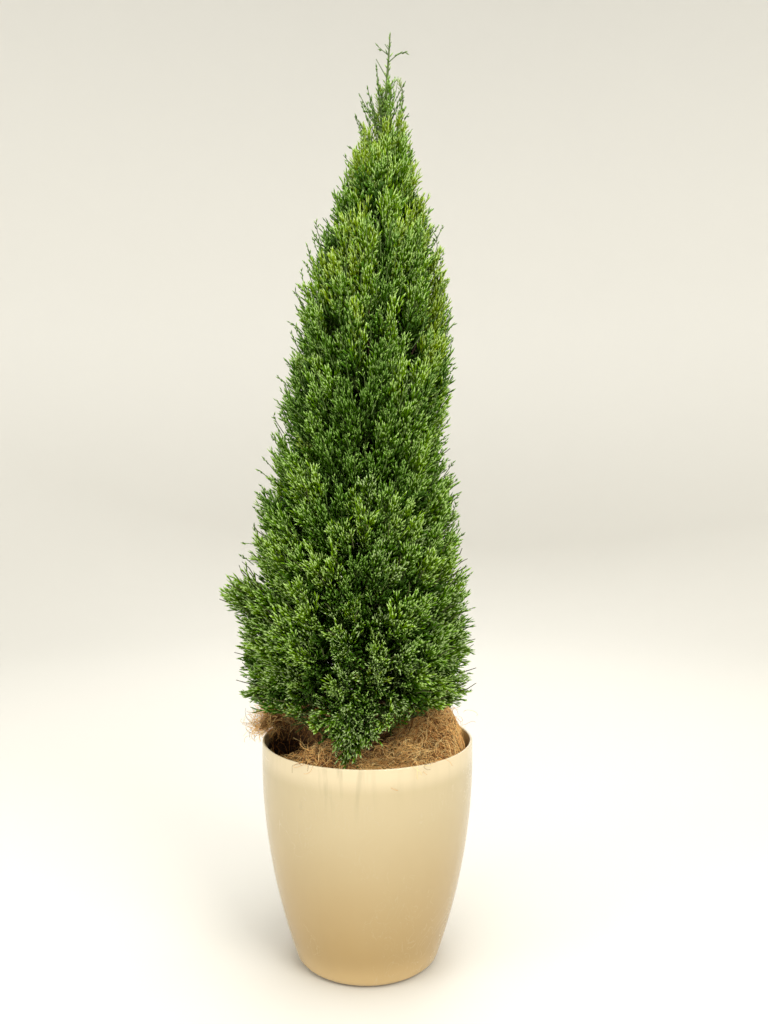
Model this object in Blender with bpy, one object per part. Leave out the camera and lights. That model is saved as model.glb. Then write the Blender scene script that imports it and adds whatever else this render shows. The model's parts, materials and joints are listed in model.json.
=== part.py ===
"""A slim garden cypress in a plain round planter, modelled as separate closed solids.

Metres, +Z up. The origin is the middle of the planter's flat underside, and -Y is the front.
The planter holds soil, a ring of coir lies on the soil, and the trunk rises through both.
The crown is cut into cells, each a sector of one tier round the trunk. One mass of foliage
fills each cell: a stem off the trunk, a dense core, and sprays of needles out to the outline.
"""

import math
import random

import bmesh
import bpy
from mathutils import Vector

# Clearance between solids that touch
GAP = 0.0003

# Planter
PLANTER_HEIGHT = 0.295
PLANTER_WIDEST_RADIUS = 0.1415
PLANTER_WIDEST_HEIGHT = 0.270
PLANTER_FOOT_RADIUS = 0.094
PLANTER_FOOT_ROUNDING = 0.008
PLANTER_WALL = 0.0034
PLANTER_FLOOR = 0.004
PLANTER_SIDES = 40
PLANTER_WALL_STEPS = 6
ROUNDING_STEPS = 3
RIM_STEPS = 4

# Soil and coir
SOIL_TOP = 0.245
COIR_LEVEL = 0.284
COIR_EDGE_LEVEL = 0.270
COIR_SIDES = 40
COIR_STEPS = 5
COIR_HEADROOM = 0.004
# Each heap of coir: x, y, height above the general level, spread
COIR_HEAPS = (
    (0.112, 0.010, 0.056, 0.042),
    (-0.095, 0.075, 0.060, 0.045),
    (0.020, 0.115, 0.036, 0.050),
    (-0.095, -0.062, -0.034, 0.034),
)

# Trunk
TRUNK_TIP_HEIGHT = 1.228
TRUNK_FOOT_X = -0.008
TRUNK_LEAN = 0.0385
TRUNK_LEAN_POWER = 1.8
TRUNK_RADIUS = 0.0135
TRUNK_TIP_RADIUS = 0.0006
TRUNK_TAPER_POWER = 0.85
ROOT_FLARE = 0.009
ROOT_FLARE_HEIGHT = 0.018
TRUNK_SIDES = 12
TRUNK_STEPS = 14
TRUNK_STEP_POWER = 1.25

# Crown outline: height, centre in x, radius
CROWN_OUTLINE = (
    (0.290, -0.010, 0.118),
    (0.330, -0.013, 0.138),
    (0.370, -0.016, 0.151),
    (0.430, -0.015, 0.152),
    (0.500, -0.015, 0.148),
    (0.600, -0.014, 0.133),
    (0.710, -0.010, 0.110),
    (0.820, 0.009, 0.106),
    (0.900, 0.009, 0.094),
    (1.000, 0.017, 0.066),
    (1.100, 0.022, 0.038),
    (1.170, 0.027, 0.022),
    (1.232, 0.030, 0.006),
)
# A spray that stands out past the outline on the left: angle, height, reach, spreads
SIDE_SPRAY_ANGLE = math.radians(184)
SIDE_SPRAY_HEIGHT = 0.487
SIDE_SPRAY_REACH = 0.038
SIDE_SPRAY_ANGLE_SPREAD = math.radians(15)
SIDE_SPRAY_HEIGHT_SPREAD = 0.030
# The lowest foliage, which dips over the rim at the front
SKIRT_HEIGHT = 0.350
SKIRT_DIP = 0.058
SKIRT_DIP_ANGLE = math.radians(-97)
SKIRT_DIP_SPREAD = math.radians(34)

# Tiers from the bottom: name, masses round the trunk, rows and columns of sprays,
# then the heights of the tier's upper bound at the trunk and at the outline
TIERS = (
    ("skirt", 6, 3, 3, 0.360, 0.450),
    ("lower", 6, 4, 3, 0.480, 0.620),
    ("middle", 5, 4, 3, 0.620, 0.800),
    ("upper", 5, 4, 2, 0.770, 0.970),
    ("high", 4, 4, 2, 0.950, 1.120),
    ("top", 3, 3, 1, 1.190, 1.232),
)
SKIRT_TRUNK_HEIGHT = 0.305
# Each tier is turned by this share of half a sector from the one below
SECTOR_SHIFT = 0.7
CELL_MARGIN = 0.0009

# Stems, cores, sprays and needles of a mass
STEM_SIDES = 4
STEM_HEIGHTS = (0.38, 0.62)
STEM_THICKNESS = 0.26
STEM_END = 0.80
STEM_END_TAPER = 0.35
CORE_SIDES = 8
CORE_SQUARENESS = 0.5
CORE_REACHES = (0.22, 0.50, 0.67, 0.75)
CORE_FILLS = (0.70, 0.97, 0.88, 0.30)
SPRAY_ROOT_REACH = 0.50
SPRAY_TIP_REACH = (0.97, 1.05)
SPRAY_WIDTH = 0.0150
SPRAY_SLIMNESS = 0.18
SPRAY_WIDTH_TRIES = (1.0, 0.75, 0.5, 0.3)
SPRAY_SIDES = 3
SPRAY_SPREAD_ACROSS = 0.97
SPRAY_SPREAD_UP = 1.12
SPRAY_GATHER = 0.8
SPRAY_RISE = 0.14
ROW_STAGGER = 0.25
ROW_JITTER = 0.2
COLUMN_JITTER = 0.12
SPRAY_LOWEST_ROOT = 0.06
# Along a spray: share of its length, share of its width
SPRAY_PROFILE = (
    (0.00, 0.60),
    (0.48, 0.50),
    (0.76, 1.00),
    (0.66, 0.50),
)
TWIG_THICKNESS = 0.25
TWIG_BRANCHING_REACH = 0.32
SEED = 41

# Mesh tolerances
MERGE = 0.00002


def outline_value(height, column):
    """Read one column of the crown's outline at a height, straight between its stations."""
    stations = CROWN_OUTLINE
    if height <= stations[0][0]:
        return stations[0][column]
    for low, high in zip(stations, stations[1:]):
        if height <= high[0]:
            share = (height - low[0]) / (high[0] - low[0])
            return low[column] + (high[column] - low[column]) * share
    return stations[-1][column]


def bell(distance, spread):
    """A smooth bump that is one at the middle and fades to nothing over the spread."""
    return math.exp(-(distance / spread) ** 2)


def turn_between(angle, other):
    """The signed angle from one direction to another, within half a turn."""
    return (angle - other + math.pi) % (2 * math.pi) - math.pi


def trunk_share(height):
    """How far up the trunk a height is, from 0 at the soil to 1 at the tip."""
    return min(1.0, max(0.0, (height - SOIL_TOP) / (TRUNK_TIP_HEIGHT - SOIL_TOP)))


def trunk_x(height):
    """The trunk's middle in x: it leans to the right, more so towards the tip."""
    return TRUNK_FOOT_X + TRUNK_LEAN * trunk_share(height) ** TRUNK_LEAN_POWER


def trunk_radius(height):
    """The trunk's radius: a root flare at the soil and an even taper to the tip."""
    taper = (1.0 - trunk_share(height)) ** TRUNK_TAPER_POWER
    flare = ROOT_FLARE * math.exp(-(height - SOIL_TOP) / ROOT_FLARE_HEIGHT)
    return TRUNK_TIP_RADIUS + (TRUNK_RADIUS - TRUNK_TIP_RADIUS) * taper + flare


def crown_radius(height, angle):
    """The distance from the trunk's middle to the crown's outline."""
    offset = outline_value(height, 1) - trunk_x(height)
    radius = outline_value(height, 2)
    across = offset * math.sin(angle)
    reach = offset * math.cos(angle) + math.sqrt(radius * radius - across * across)
    side = bell(turn_between(angle, SIDE_SPRAY_ANGLE), SIDE_SPRAY_ANGLE_SPREAD)
    side *= bell(height - SIDE_SPRAY_HEIGHT, SIDE_SPRAY_HEIGHT_SPREAD)
    return reach + SIDE_SPRAY_REACH * side


def tier_bounds(tier, angle):
    """Heights of a tier's bounds: lower at trunk and outline, upper at trunk and outline."""
    upper = TIERS[tier][4:6]
    if tier > 0:
        return TIERS[tier - 1][4:6] + upper
    dip = SKIRT_DIP * bell(turn_between(angle, SKIRT_DIP_ANGLE), SKIRT_DIP_SPREAD)
    return (SKIRT_TRUNK_HEIGHT, SKIRT_HEIGHT - dip) + upper


def skirt_underside(radius, angle):
    """The height of the lowest foliage over a point of the planter."""
    inner, outer = tier_bounds(0, angle)[:2]
    return inner + (outer - inner) * radius / crown_radius(outer, angle)


class Cell:
    """The space of one mass: a sector of one tier round the trunk.

    A place in it has three shares: across the sector from -1 to 1, up the tier from 0 to 1,
    and outward from 0 at the trunk's middle to 1 at the crown's outline.
    """

    def __init__(self, tier, index):
        self.tier = tier
        self.count = TIERS[tier][1]
        self.half_turn = math.pi / self.count
        self.angle = SKIRT_DIP_ANGLE + (2 * index + SECTOR_SHIFT * tier) * self.half_turn

    def place(self, across, up, outward):
        """The point at the given shares of the cell."""
        angle = self.angle + across * self.half_turn
        low_in, low_out, high_in, high_out = tier_bounds(self.tier, angle)
        inner = low_in + (high_in - low_in) * up
        outer = low_out + (high_out - low_out) * up
        height = inner + (outer - inner) * outward
        radius = outward * crown_radius(outer, angle)
        middle = trunk_x(height)
        return Vector((middle + radius * math.cos(angle), radius * math.sin(angle), height))

    def bound(self, radius, angle, upper):
        """The height of the cell's lower or upper bound over a point."""
        bounds = tier_bounds(self.tier, angle)
        inner, outer = bounds[2:] if upper else bounds[:2]
        return inner + (outer - inner) * radius / crown_radius(outer, angle)

    def holds(self, point):
        """Whether a point lies in the cell, clear of its sides by the margin."""
        x = point.x - trunk_x(point.z)
        radius = math.hypot(x, point.y)
        angle = math.atan2(point.y, x)
        turn = turn_between(angle, self.angle)
        if abs(turn) > self.half_turn:
            return False
        side = radius * math.sin(self.half_turn - abs(turn))
        below = point.z - self.bound(radius, angle, False)
        above = self.bound(radius, angle, True) - point.z
        return min(side, below, above) > CELL_MARGIN


def across_frame(direction):
    """Two unit vectors square to a direction, for the rings of a limb."""
    side = direction.cross(Vector((0, 0, 1)))
    if side.length < 0.001:
        side = Vector((1, 0, 0))
    side.normalize()
    return side, side.cross(direction).normalized()


def ring(centre, direction, radius, sides, turn=0.0):
    """A round ring of points square to a direction, turned about it by an angle."""
    side, rise = across_frame(direction)
    turns = [turn + 2 * math.pi * k / sides for k in range(sides)]
    return [centre + radius * (math.cos(t) * side + math.sin(t) * rise) for t in turns]


def flat_ring(centre, radius, sides):
    """A level ring of points, anticlockwise from above."""
    turns = [2 * math.pi * k / sides for k in range(sides)]
    return [centre + radius * Vector((math.cos(t), math.sin(t), 0)) for t in turns]


def add_object(name, shape, material=None):
    """Link a mesh object made from a bmesh, with its faces pointing out."""
    bmesh.ops.triangulate(shape, faces=shape.faces)
    bmesh.ops.recalc_face_normals(shape, faces=shape.faces)
    mesh = bpy.data.meshes.new(name)
    shape.to_mesh(mesh)
    shape.free()
    item = bpy.data.objects.new(name, mesh)
    bpy.context.scene.collection.objects.link(item)
    if material:
        mesh.materials.append(material)
    return item


def loft(rings):
    """A closed skin through rings of equal size; a ring of one point makes a pointed end."""
    shape = bmesh.new()
    rows = [[shape.verts.new(point) for point in points] for points in rings]
    for lower, upper in zip(rows, rows[1:]):
        size = max(len(lower), len(upper))
        for k in range(size):
            corners = [lower[k % len(lower)], lower[(k + 1) % len(lower)],
                       upper[(k + 1) % len(upper)], upper[k % len(upper)]]
            shape.faces.new(list(dict.fromkeys(corners)))
    for row in (rows[0], rows[-1]):
        if len(row) > 2:
            shape.faces.new(row)
    return shape


def make_material(name, colour, roughness, metallic=0.0):
    """A plain surface finish."""
    material = bpy.data.materials.new(name)
    material.use_nodes = True
    surface = material.node_tree.nodes["Principled BSDF"]
    surface.inputs["Base Color"].default_value = (*colour, 1.0)
    surface.inputs["Roughness"].default_value = roughness
    surface.inputs["Metallic"].default_value = metallic
    return material


def wall_heights(start):
    """Heights of the planter wall's rings from a start up to the rim."""
    steps = range(PLANTER_WALL_STEPS + 1)
    return [start + (PLANTER_HEIGHT - start) * step / PLANTER_WALL_STEPS for step in steps]


def planter_radius(height):
    """The planter's outer radius: full at the shoulder and drawn in towards the foot."""
    drop = (PLANTER_WIDEST_HEIGHT - height) / PLANTER_WIDEST_HEIGHT
    return PLANTER_WIDEST_RADIUS - (PLANTER_WIDEST_RADIUS - PLANTER_FOOT_RADIUS) * drop * drop


def inner_radius(height):
    """The radius of the planter's inner wall."""
    return planter_radius(height) - PLANTER_WALL


def inner_heights(top):
    """Heights of the inner wall's rings from the planter's floor up to a top."""
    return [height for height in wall_heights(PLANTER_FLOOR) if height < top - MERGE] + [top]


def make_planter(material):
    """The planter: one turned shell with a rounded foot, a flat underside and a round rim."""
    profile = []
    for step in range(ROUNDING_STEPS + 1):
        turn = math.pi / 2 * step / ROUNDING_STEPS
        height = PLANTER_FOOT_ROUNDING * (1 - math.cos(turn))
        radius = planter_radius(height) - PLANTER_FOOT_ROUNDING * (1 - math.sin(turn))
        profile.append((radius, height))
    profile += [(planter_radius(z), z) for z in wall_heights(PLANTER_FOOT_ROUNDING)[1:-1]]
    half_wall = PLANTER_WALL / 2
    lip = planter_radius(PLANTER_HEIGHT) - half_wall
    for step in range(RIM_STEPS + 1):
        turn = math.pi * step / RIM_STEPS
        height = PLANTER_HEIGHT - half_wall + half_wall * math.sin(turn)
        profile.append((lip + half_wall * math.cos(turn), height))
    profile += [(inner_radius(z), z) for z in reversed(wall_heights(PLANTER_FLOOR)[:-1])]
    rings = [flat_ring(Vector((0, 0, z)), radius, PLANTER_SIDES) for radius, z in profile]
    planter = add_object("planter", loft(rings), material)
    planter.data.shade_smooth()
    planter.data.set_sharp_from_angle(angle=math.radians(40))
    return planter


def make_soil(material):
    """The soil that fills the planter up to the foot of the trunk."""
    rings = []
    for height in inner_heights(SOIL_TOP):
        level = max(height, PLANTER_FLOOR + GAP)
        radius = inner_radius(height) - GAP
        rings.append(flat_ring(Vector((0, 0, level)), radius, PLANTER_SIDES))
    return add_object("soil", loft(rings), material)


def coir_height(radius, angle):
    """The top of the coir: heaps over a general level, kept under the lowest foliage."""
    x = TRUNK_FOOT_X + radius * math.cos(angle)
    y = radius * math.sin(angle)
    height = COIR_LEVEL
    for heap_x, heap_y, rise, spread in COIR_HEAPS:
        height += rise * bell(math.hypot(x - heap_x, y - heap_y), spread)
    return min(height, skirt_underside(radius, angle) - COIR_HEADROOM)


def make_coir(material):
    """The ring of coir on the soil, from close round the trunk to close inside the wall."""
    floor = SOIL_TOP + GAP
    hole = trunk_radius(SOIL_TOP) + GAP
    rows = []
    for k in range(COIR_SIDES):
        turn = 2 * math.pi * k / COIR_SIDES
        away = Vector((math.cos(turn), math.sin(turn), 0))
        foot = Vector((TRUNK_FOOT_X, 0, 0))
        lowest_edge = away * (inner_radius(SOIL_TOP) - 2 * GAP)
        rim_edge = away * (inner_radius(COIR_EDGE_LEVEL) - 2 * GAP)
        hole_edge = foot + away * hole
        row = [hole_edge + Vector((0, 0, floor)), lowest_edge + Vector((0, 0, floor)),
               rim_edge + Vector((0, 0, COIR_EDGE_LEVEL))]
        for step in reversed(range(COIR_STEPS)):
            share = step / COIR_STEPS
            flat = hole_edge.lerp(rim_edge, share)
            offset = flat - foot
            height = coir_height(offset.length, math.atan2(offset.y, offset.x))
            row.append(flat + Vector((0, 0, height)))
        rows.append(row)
    shape = bmesh.new()
    grid = [[shape.verts.new(point) for point in row] for row in rows]
    for k in range(COIR_SIDES):
        here = grid[k]
        after = grid[(k + 1) % COIR_SIDES]
        for j in range(len(here)):
            nearer = (j + 1) % len(here)
            shape.faces.new((here[j], after[j], after[nearer], here[nearer]))
    return add_object("coir", shape, material)


def trunk_rings(clearance):
    """The trunk's rings, grown by a clearance, closer together at the root flare."""
    start = SOIL_TOP + GAP
    rings = []
    for step in range(TRUNK_STEPS):
        share = (step / TRUNK_STEPS) ** TRUNK_STEP_POWER
        height = start + (TRUNK_TIP_HEIGHT - start) * share
        centre = Vector((trunk_x(height), 0, height))
        rings.append(flat_ring(centre, trunk_radius(height) + clearance, TRUNK_SIDES))
    tip = Vector((trunk_x(TRUNK_TIP_HEIGHT), 0, TRUNK_TIP_HEIGHT))
    rings.append(flat_ring(tip, TRUNK_TIP_RADIUS + clearance, TRUNK_SIDES))
    return rings


def make_trunk(material):
    """The trunk, whole from its flat cut at the soil up to the tip of the leader."""
    trunk = add_object("trunk", loft(trunk_rings(0.0)), material)
    trunk.data.shade_smooth()
    trunk.data.set_sharp_from_angle(angle=math.radians(50))
    return trunk


def make_stem(cell, up):
    """The stem of a mass: one tapering limb from inside the trunk out through the core."""
    root = cell.place(0, up, 0)
    end = cell.place(0, up, STEM_END)
    thickness = STEM_THICKNESS * trunk_radius(root.z)
    direction = (end - root).normalized()
    rings = [ring(root, direction, thickness, STEM_SIDES),
             ring(end, direction, thickness * STEM_END_TAPER, STEM_SIDES)]
    return loft(rings)


def squared(value):
    """Push a sine or cosine out towards one, so that a round section nears a square."""
    return math.copysign(abs(value) ** CORE_SQUARENESS, value)


def make_core(cell):
    """The dense heart of a mass, a rounded wedge that follows the cell out from the trunk."""
    rings = []
    for outward, fill in zip(CORE_REACHES, CORE_FILLS):
        points = []
        for k in range(CORE_SIDES):
            turn = 2 * math.pi * (k + 0.5) / CORE_SIDES
            across = fill * squared(math.cos(turn))
            up = 0.5 + 0.5 * fill * squared(math.sin(turn))
            points.append(cell.place(across, up, outward))
        rings.append(points)
    return loft(rings)


def make_spray(branching, root, tip, width, turn):
    """A twig off the stem that ends in a spray: a slim core with a whorl of needles."""
    twig = (root - branching).normalized()
    direction = (tip - root).normalized()
    rings = [ring(branching, twig, width * TWIG_THICKNESS, SPRAY_SIDES, turn)]
    for share, thickness in SPRAY_PROFILE:
        middle = root.lerp(tip, share)
        rings.append(ring(middle, direction, width * thickness, SPRAY_SIDES, turn))
    return loft(rings + [[tip]])


def stays_inside(shape, cell):
    """Whether every corner of a shape lies in the cell."""
    return all(cell.holds(vertex.co) for vertex in shape.verts)


def spray_places(cell, rng):
    """The root and tip of each spray, in rows and columns over the cell's outer face."""
    rows, columns = TIERS[cell.tier][2:4]
    for row in range(rows):
        for column in range(columns):
            stagger = ROW_STAGGER if row % 2 else -ROW_STAGGER
            column_middle = column + 0.5 + stagger + rng.uniform(-1, 1) * COLUMN_JITTER
            row_middle = row + 0.5 + rng.uniform(-1, 1) * ROW_JITTER
            across = SPRAY_SPREAD_ACROSS * (2 * column_middle / columns - 1)
            up = 0.5 + SPRAY_SPREAD_UP * (row_middle / rows - 0.5)
            tip = cell.place(across, up, rng.uniform(*SPRAY_TIP_REACH))
            root_up = 0.5 + SPRAY_GATHER * (up - 0.5) - SPRAY_RISE
            root_up = max(SPRAY_LOWEST_ROOT, root_up)
            root = cell.place(SPRAY_GATHER * across, root_up, SPRAY_ROOT_REACH)
            yield root, tip


def spray_shapes(cell, stem_up, rng):
    """The sprays of a mass. One that would leave the cell is made slimmer, or skipped."""
    shapes = []
    branching = cell.place(0, stem_up, TWIG_BRANCHING_REACH)
    for root, tip in spray_places(cell, rng):
        full_width = min(SPRAY_WIDTH, SPRAY_SLIMNESS * (tip - root).length)
        turn = rng.uniform(0, 2 * math.pi)
        for share in SPRAY_WIDTH_TRIES:
            shape = make_spray(branching, root, tip, full_width * share, turn)
            if stays_inside(shape, cell):
                shapes.append(shape)
                break
            shape.free()
    return shapes


def apply_modifiers(item):
    """Replace an object's mesh with the mesh its modifiers give."""
    graph = bpy.context.evaluated_depsgraph_get()
    mesh = bpy.data.meshes.new_from_object(item.evaluated_get(graph))
    item.modifiers.clear()
    item.data = mesh


def fuse(item, shapes):
    """Join shapes to an object with one Boolean union on a collection, then remove them.

    The exact solver leaves open edges where dozens of thin sprays meet, so this one is used.
    """
    group = bpy.data.collections.new("to_fuse")
    bpy.context.scene.collection.children.link(group)
    pieces = []
    for shape in shapes:
        piece = add_object("piece", shape)
        bpy.context.scene.collection.objects.unlink(piece)
        group.objects.link(piece)
        pieces.append(piece)
    union = item.modifiers.new("union", "BOOLEAN")
    union.operation = "UNION"
    union.operand_type = "COLLECTION"
    union.collection = group
    union.solver = "MANIFOLD"
    apply_modifiers(item)
    for piece in pieces:
        bpy.data.objects.remove(piece)
    bpy.data.collections.remove(group)


def cut(item, cutter):
    """Cut an object back from a cutter."""
    difference = item.modifiers.new("difference", "BOOLEAN")
    difference.operation = "DIFFERENCE"
    difference.object = cutter
    difference.solver = "EXACT"
    apply_modifiers(item)


def islands(shape):
    """The separate bodies of a mesh, as lists of faces."""
    left = set(shape.faces)
    groups = []
    while left:
        seed = left.pop()
        group = [seed]
        stack = [seed]
        while stack:
            for edge in stack.pop().edges:
                for face in edge.link_faces:
                    if face in left:
                        left.remove(face)
                        group.append(face)
                        stack.append(face)
        groups.append(group)
    return groups


def signed_volume(faces):
    """The volume that triangles enclose."""
    total = 0.0
    for face in faces:
        a, b, c = (vertex.co for vertex in face.verts)
        total += a.dot(b.cross(c)) / 6
    return total


def part_shared_diagonals(shape):
    """Give a middle point to one of two diagonals that run between the same two corners."""
    for edge in [edge for edge in shape.edges if len(edge.link_faces) == 4]:
        first, *others = edge.link_faces
        second = max(others, key=lambda face: face.normal.dot(first.normal))
        middle = shape.verts.new((edge.verts[0].co + edge.verts[1].co) / 2)
        for face in (first, second):
            corners = list(face.verts)
            for end in edge.verts:
                part = [middle if corner is end else corner for corner in corners]
                shape.faces.new(part).normal_update()
            shape.faces.remove(face)


def tidy(item):
    """Leave one closed body: slivers are merged, scraps and sealed hollows are dropped."""
    shape = bmesh.new()
    shape.from_mesh(item.data)
    bmesh.ops.remove_doubles(shape, verts=shape.verts, dist=MERGE)
    bmesh.ops.triangulate(shape, faces=shape.faces)
    part_shared_diagonals(shape)
    loose = [edge for edge in shape.edges if not edge.link_faces]
    bmesh.ops.delete(shape, geom=loose, context="EDGES")
    for scrap in sorted(islands(shape), key=signed_volume)[:-1]:
        bmesh.ops.delete(shape, geom=scrap, context="FACES")
    shape.to_mesh(item.data)
    shape.free()


def make_mass(tier, index, material, trunk_space):
    """One mass of foliage: stem, core, sprays and needles joined, and cut clear of the trunk."""
    cell = Cell(tier, index)
    rng = random.Random(SEED + 100 * tier + index)
    mass = add_object(f"{TIERS[tier][0]}_mass_{index + 1}", make_core(cell))
    stem_up = rng.uniform(*STEM_HEIGHTS)
    fuse(mass, [make_stem(cell, stem_up)] + spray_shapes(cell, stem_up, rng))
    cut(mass, trunk_space)
    tidy(mass)
    mass.data.materials.clear()
    mass.data.materials.append(material)
    return mass


def make_trunk_space():
    """A hidden cutter that is the trunk grown by the clearance."""
    clearance = GAP / math.cos(math.pi / TRUNK_SIDES)
    space = add_object("trunk_space", loft(trunk_rings(clearance)))
    space.hide_render = True
    space.display_type = "WIRE"
    return space


def main():
    """Clear the scene and make every part."""
    for item in list(bpy.data.objects):
        bpy.data.objects.remove(item)
    make_planter(make_material("planter_finish", (0.84, 0.72, 0.50), 0.16))
    make_soil(make_material("soil_finish", (0.055, 0.036, 0.022), 0.95))
    make_coir(make_material("coir_finish", (0.34, 0.18, 0.07), 0.90))
    make_trunk(make_material("bark_finish", (0.17, 0.11, 0.065), 0.85))
    foliage = make_material("foliage_finish", (0.095, 0.19, 0.035), 0.55)
    trunk_space = make_trunk_space()
    for tier, (_, count, *_) in enumerate(TIERS):
        for index in range(count):
            make_mass(tier, index, foliage, trunk_space)
    bpy.data.objects.remove(trunk_space)


main()
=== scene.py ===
"""The looks of a potted garden cypress: foliage, twigs, bark, coir, soil, planter and studio.

Metres, +Z up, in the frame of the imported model, with -Y as the front. The crown repeats the
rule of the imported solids: cells round the trunk, a stem in each, and twigs that end in sprays.
Here each spray is carried on to plumes, shoots and sprigs that stay within the same outline.
"""

import json
import logging
import math
import random
from collections.abc import Iterable, Iterator, Mapping, Sequence
from dataclasses import dataclass, field
from enum import Enum

import bmesh
import bpy
import numpy as np
from mathutils import Matrix, Vector, noise

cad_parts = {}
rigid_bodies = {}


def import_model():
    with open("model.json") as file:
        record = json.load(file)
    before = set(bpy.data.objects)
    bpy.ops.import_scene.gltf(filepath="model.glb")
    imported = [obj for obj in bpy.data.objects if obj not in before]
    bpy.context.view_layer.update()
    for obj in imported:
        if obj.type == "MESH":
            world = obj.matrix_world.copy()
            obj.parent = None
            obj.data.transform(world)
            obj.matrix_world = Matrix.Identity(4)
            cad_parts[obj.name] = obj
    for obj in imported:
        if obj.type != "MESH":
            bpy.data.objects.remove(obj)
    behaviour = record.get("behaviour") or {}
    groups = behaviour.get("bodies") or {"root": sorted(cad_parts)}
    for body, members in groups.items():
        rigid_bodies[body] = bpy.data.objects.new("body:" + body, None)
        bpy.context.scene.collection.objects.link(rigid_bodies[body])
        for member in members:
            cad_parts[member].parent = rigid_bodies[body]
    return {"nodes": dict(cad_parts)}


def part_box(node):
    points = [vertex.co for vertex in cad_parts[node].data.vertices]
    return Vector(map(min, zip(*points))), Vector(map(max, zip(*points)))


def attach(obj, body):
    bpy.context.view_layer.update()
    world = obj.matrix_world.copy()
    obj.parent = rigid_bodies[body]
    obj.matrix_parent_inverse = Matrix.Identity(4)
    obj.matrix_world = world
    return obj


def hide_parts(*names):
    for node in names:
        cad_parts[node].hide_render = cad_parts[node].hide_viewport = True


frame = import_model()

LOG = logging.getLogger("cypress")
BODY = "root"
UP = Vector((0.0, 0.0, 1.0))
TURN = 2 * math.pi
GOLDEN_TURN = math.radians(137.5)
NEARLY_UPRIGHT = 0.01

# Short names of types
Colour = tuple[float, float, float]
Span = tuple[float, float]
Stations = tuple[Span, ...]
Rng = random.Random
Socket = bpy.types.NodeSocket
Material = bpy.types.Material
Mesh = bpy.types.Mesh
Item = bpy.types.Object
Shape = bmesh.types.BMesh


def bell(distance: float, spread: float) -> float:
    """A smooth bump: one at the middle, fading to nothing over the spread."""
    return math.exp(-(distance / spread) ** 2)


def turn_between(angle: float, other: float) -> float:
    """The signed angle from one direction to another, within half a turn."""
    return (angle - other + math.pi) % TURN - math.pi


def along_stations(stations: Sequence[Sequence[float]], key: float, column: int) -> float:
    """Read one column of a table of stations, straight between its rows.

    Args:
        stations: Rows in rising order of their first column.
        key: The value looked up in the first column.
        column: The column to read.

    Returns:
        The value at the key, held at the ends of the table.
    """
    if key <= stations[0][0]:
        return stations[0][column]
    for low, high in zip(stations, stations[1:]):
        if key <= high[0]:
            share = (key - low[0]) / (high[0] - low[0])
            return low[column] + (high[column] - low[column]) * share
    return stations[-1][column]


def spun(direction: Vector, angle: float, turn: float) -> Vector:
    """Tilt a direction away from itself.

    Args:
        direction: A unit vector.
        angle: How far it tilts, in radians.
        turn: Which way it tilts, as an angle about itself.

    Returns:
        The tilted unit vector.
    """
    side = direction.cross(UP)
    if side.length < NEARLY_UPRIGHT:
        side = Vector((1.0, 0.0, 0.0))
    side.normalize()
    rise = side.cross(direction)
    away = math.cos(turn) * side + math.sin(turn) * rise
    return (math.cos(angle) * direction + math.sin(angle) * away).normalized()


def strayed(direction: Vector, least: float, most: float, rng: Rng) -> Vector:
    """Tilt a direction to a random side, by a random angle between two bounds in radians."""
    return spun(direction, rng.uniform(least, most), rng.uniform(0, TURN))


def level(angle: float) -> Vector:
    """The level direction at an angle."""
    return Vector((math.cos(angle), math.sin(angle), 0))


def on_run(points: Sequence[Vector], share: float) -> tuple[Vector, Vector]:
    """Find a place on a run of points.

    Args:
        points: The points of the run.
        share: How far along it the place is, counted in stretches between points.

    Returns:
        The place, and the run's direction there.
    """
    low = min(len(points) - 2, int(share))
    place = points[low].lerp(points[low + 1], share - low)
    return place, (points[low + 1] - points[low]).normalized()


# Rules of form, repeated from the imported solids


@dataclass(frozen=True)
class PlanterForm:
    """The planter's turned outline."""

    height: float = 0.295
    widest_radius: float = 0.1415
    widest_height: float = 0.270
    foot_radius: float = 0.094
    foot_rounding: float = 0.008
    wall: float = 0.0034
    floor: float = 0.004

    def radius(self, height: float) -> float:
        """The outer radius at a height."""
        drop = (self.widest_height - height) / self.widest_height
        return self.widest_radius - (self.widest_radius - self.foot_radius) * drop * drop

    def inner(self, height: float) -> float:
        """The inner wall's radius at a height."""
        return self.radius(height) - self.wall


@dataclass(frozen=True)
class TrunkForm:
    """The trunk's taper, lean and root flare."""

    foot: float = 0.245
    tip: float = 1.228
    foot_x: float = -0.008
    lean: float = 0.0385
    lean_power: float = 1.8
    foot_radius: float = 0.0135
    tip_radius: float = 0.0006
    taper_power: float = 0.85
    flare: float = 0.009
    flare_height: float = 0.018

    def share(self, height: float) -> float:
        """How far up the trunk a height is, from 0 to 1."""
        return min(1.0, max(0.0, (height - self.foot) / (self.tip - self.foot)))

    def x(self, height: float) -> float:
        """The trunk's middle in x."""
        return self.foot_x + self.lean * self.share(height) ** self.lean_power

    def middle(self, height: float) -> Vector:
        """The trunk's middle as a point."""
        return Vector((self.x(height), 0, height))

    def radius(self, height: float) -> float:
        """The trunk's radius at a height."""
        taper = (1.0 - self.share(height)) ** self.taper_power
        flare = self.flare * math.exp(-(height - self.foot) / self.flare_height)
        return self.tip_radius + (self.foot_radius - self.tip_radius) * taper + flare


@dataclass(frozen=True)
class Tier:
    """One tier of the crown, with how many plumes each of its sprays forks into."""

    name: str
    masses: int
    rows: int
    columns: int
    top_at_trunk: float
    top_at_outline: float
    forks: float


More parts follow.
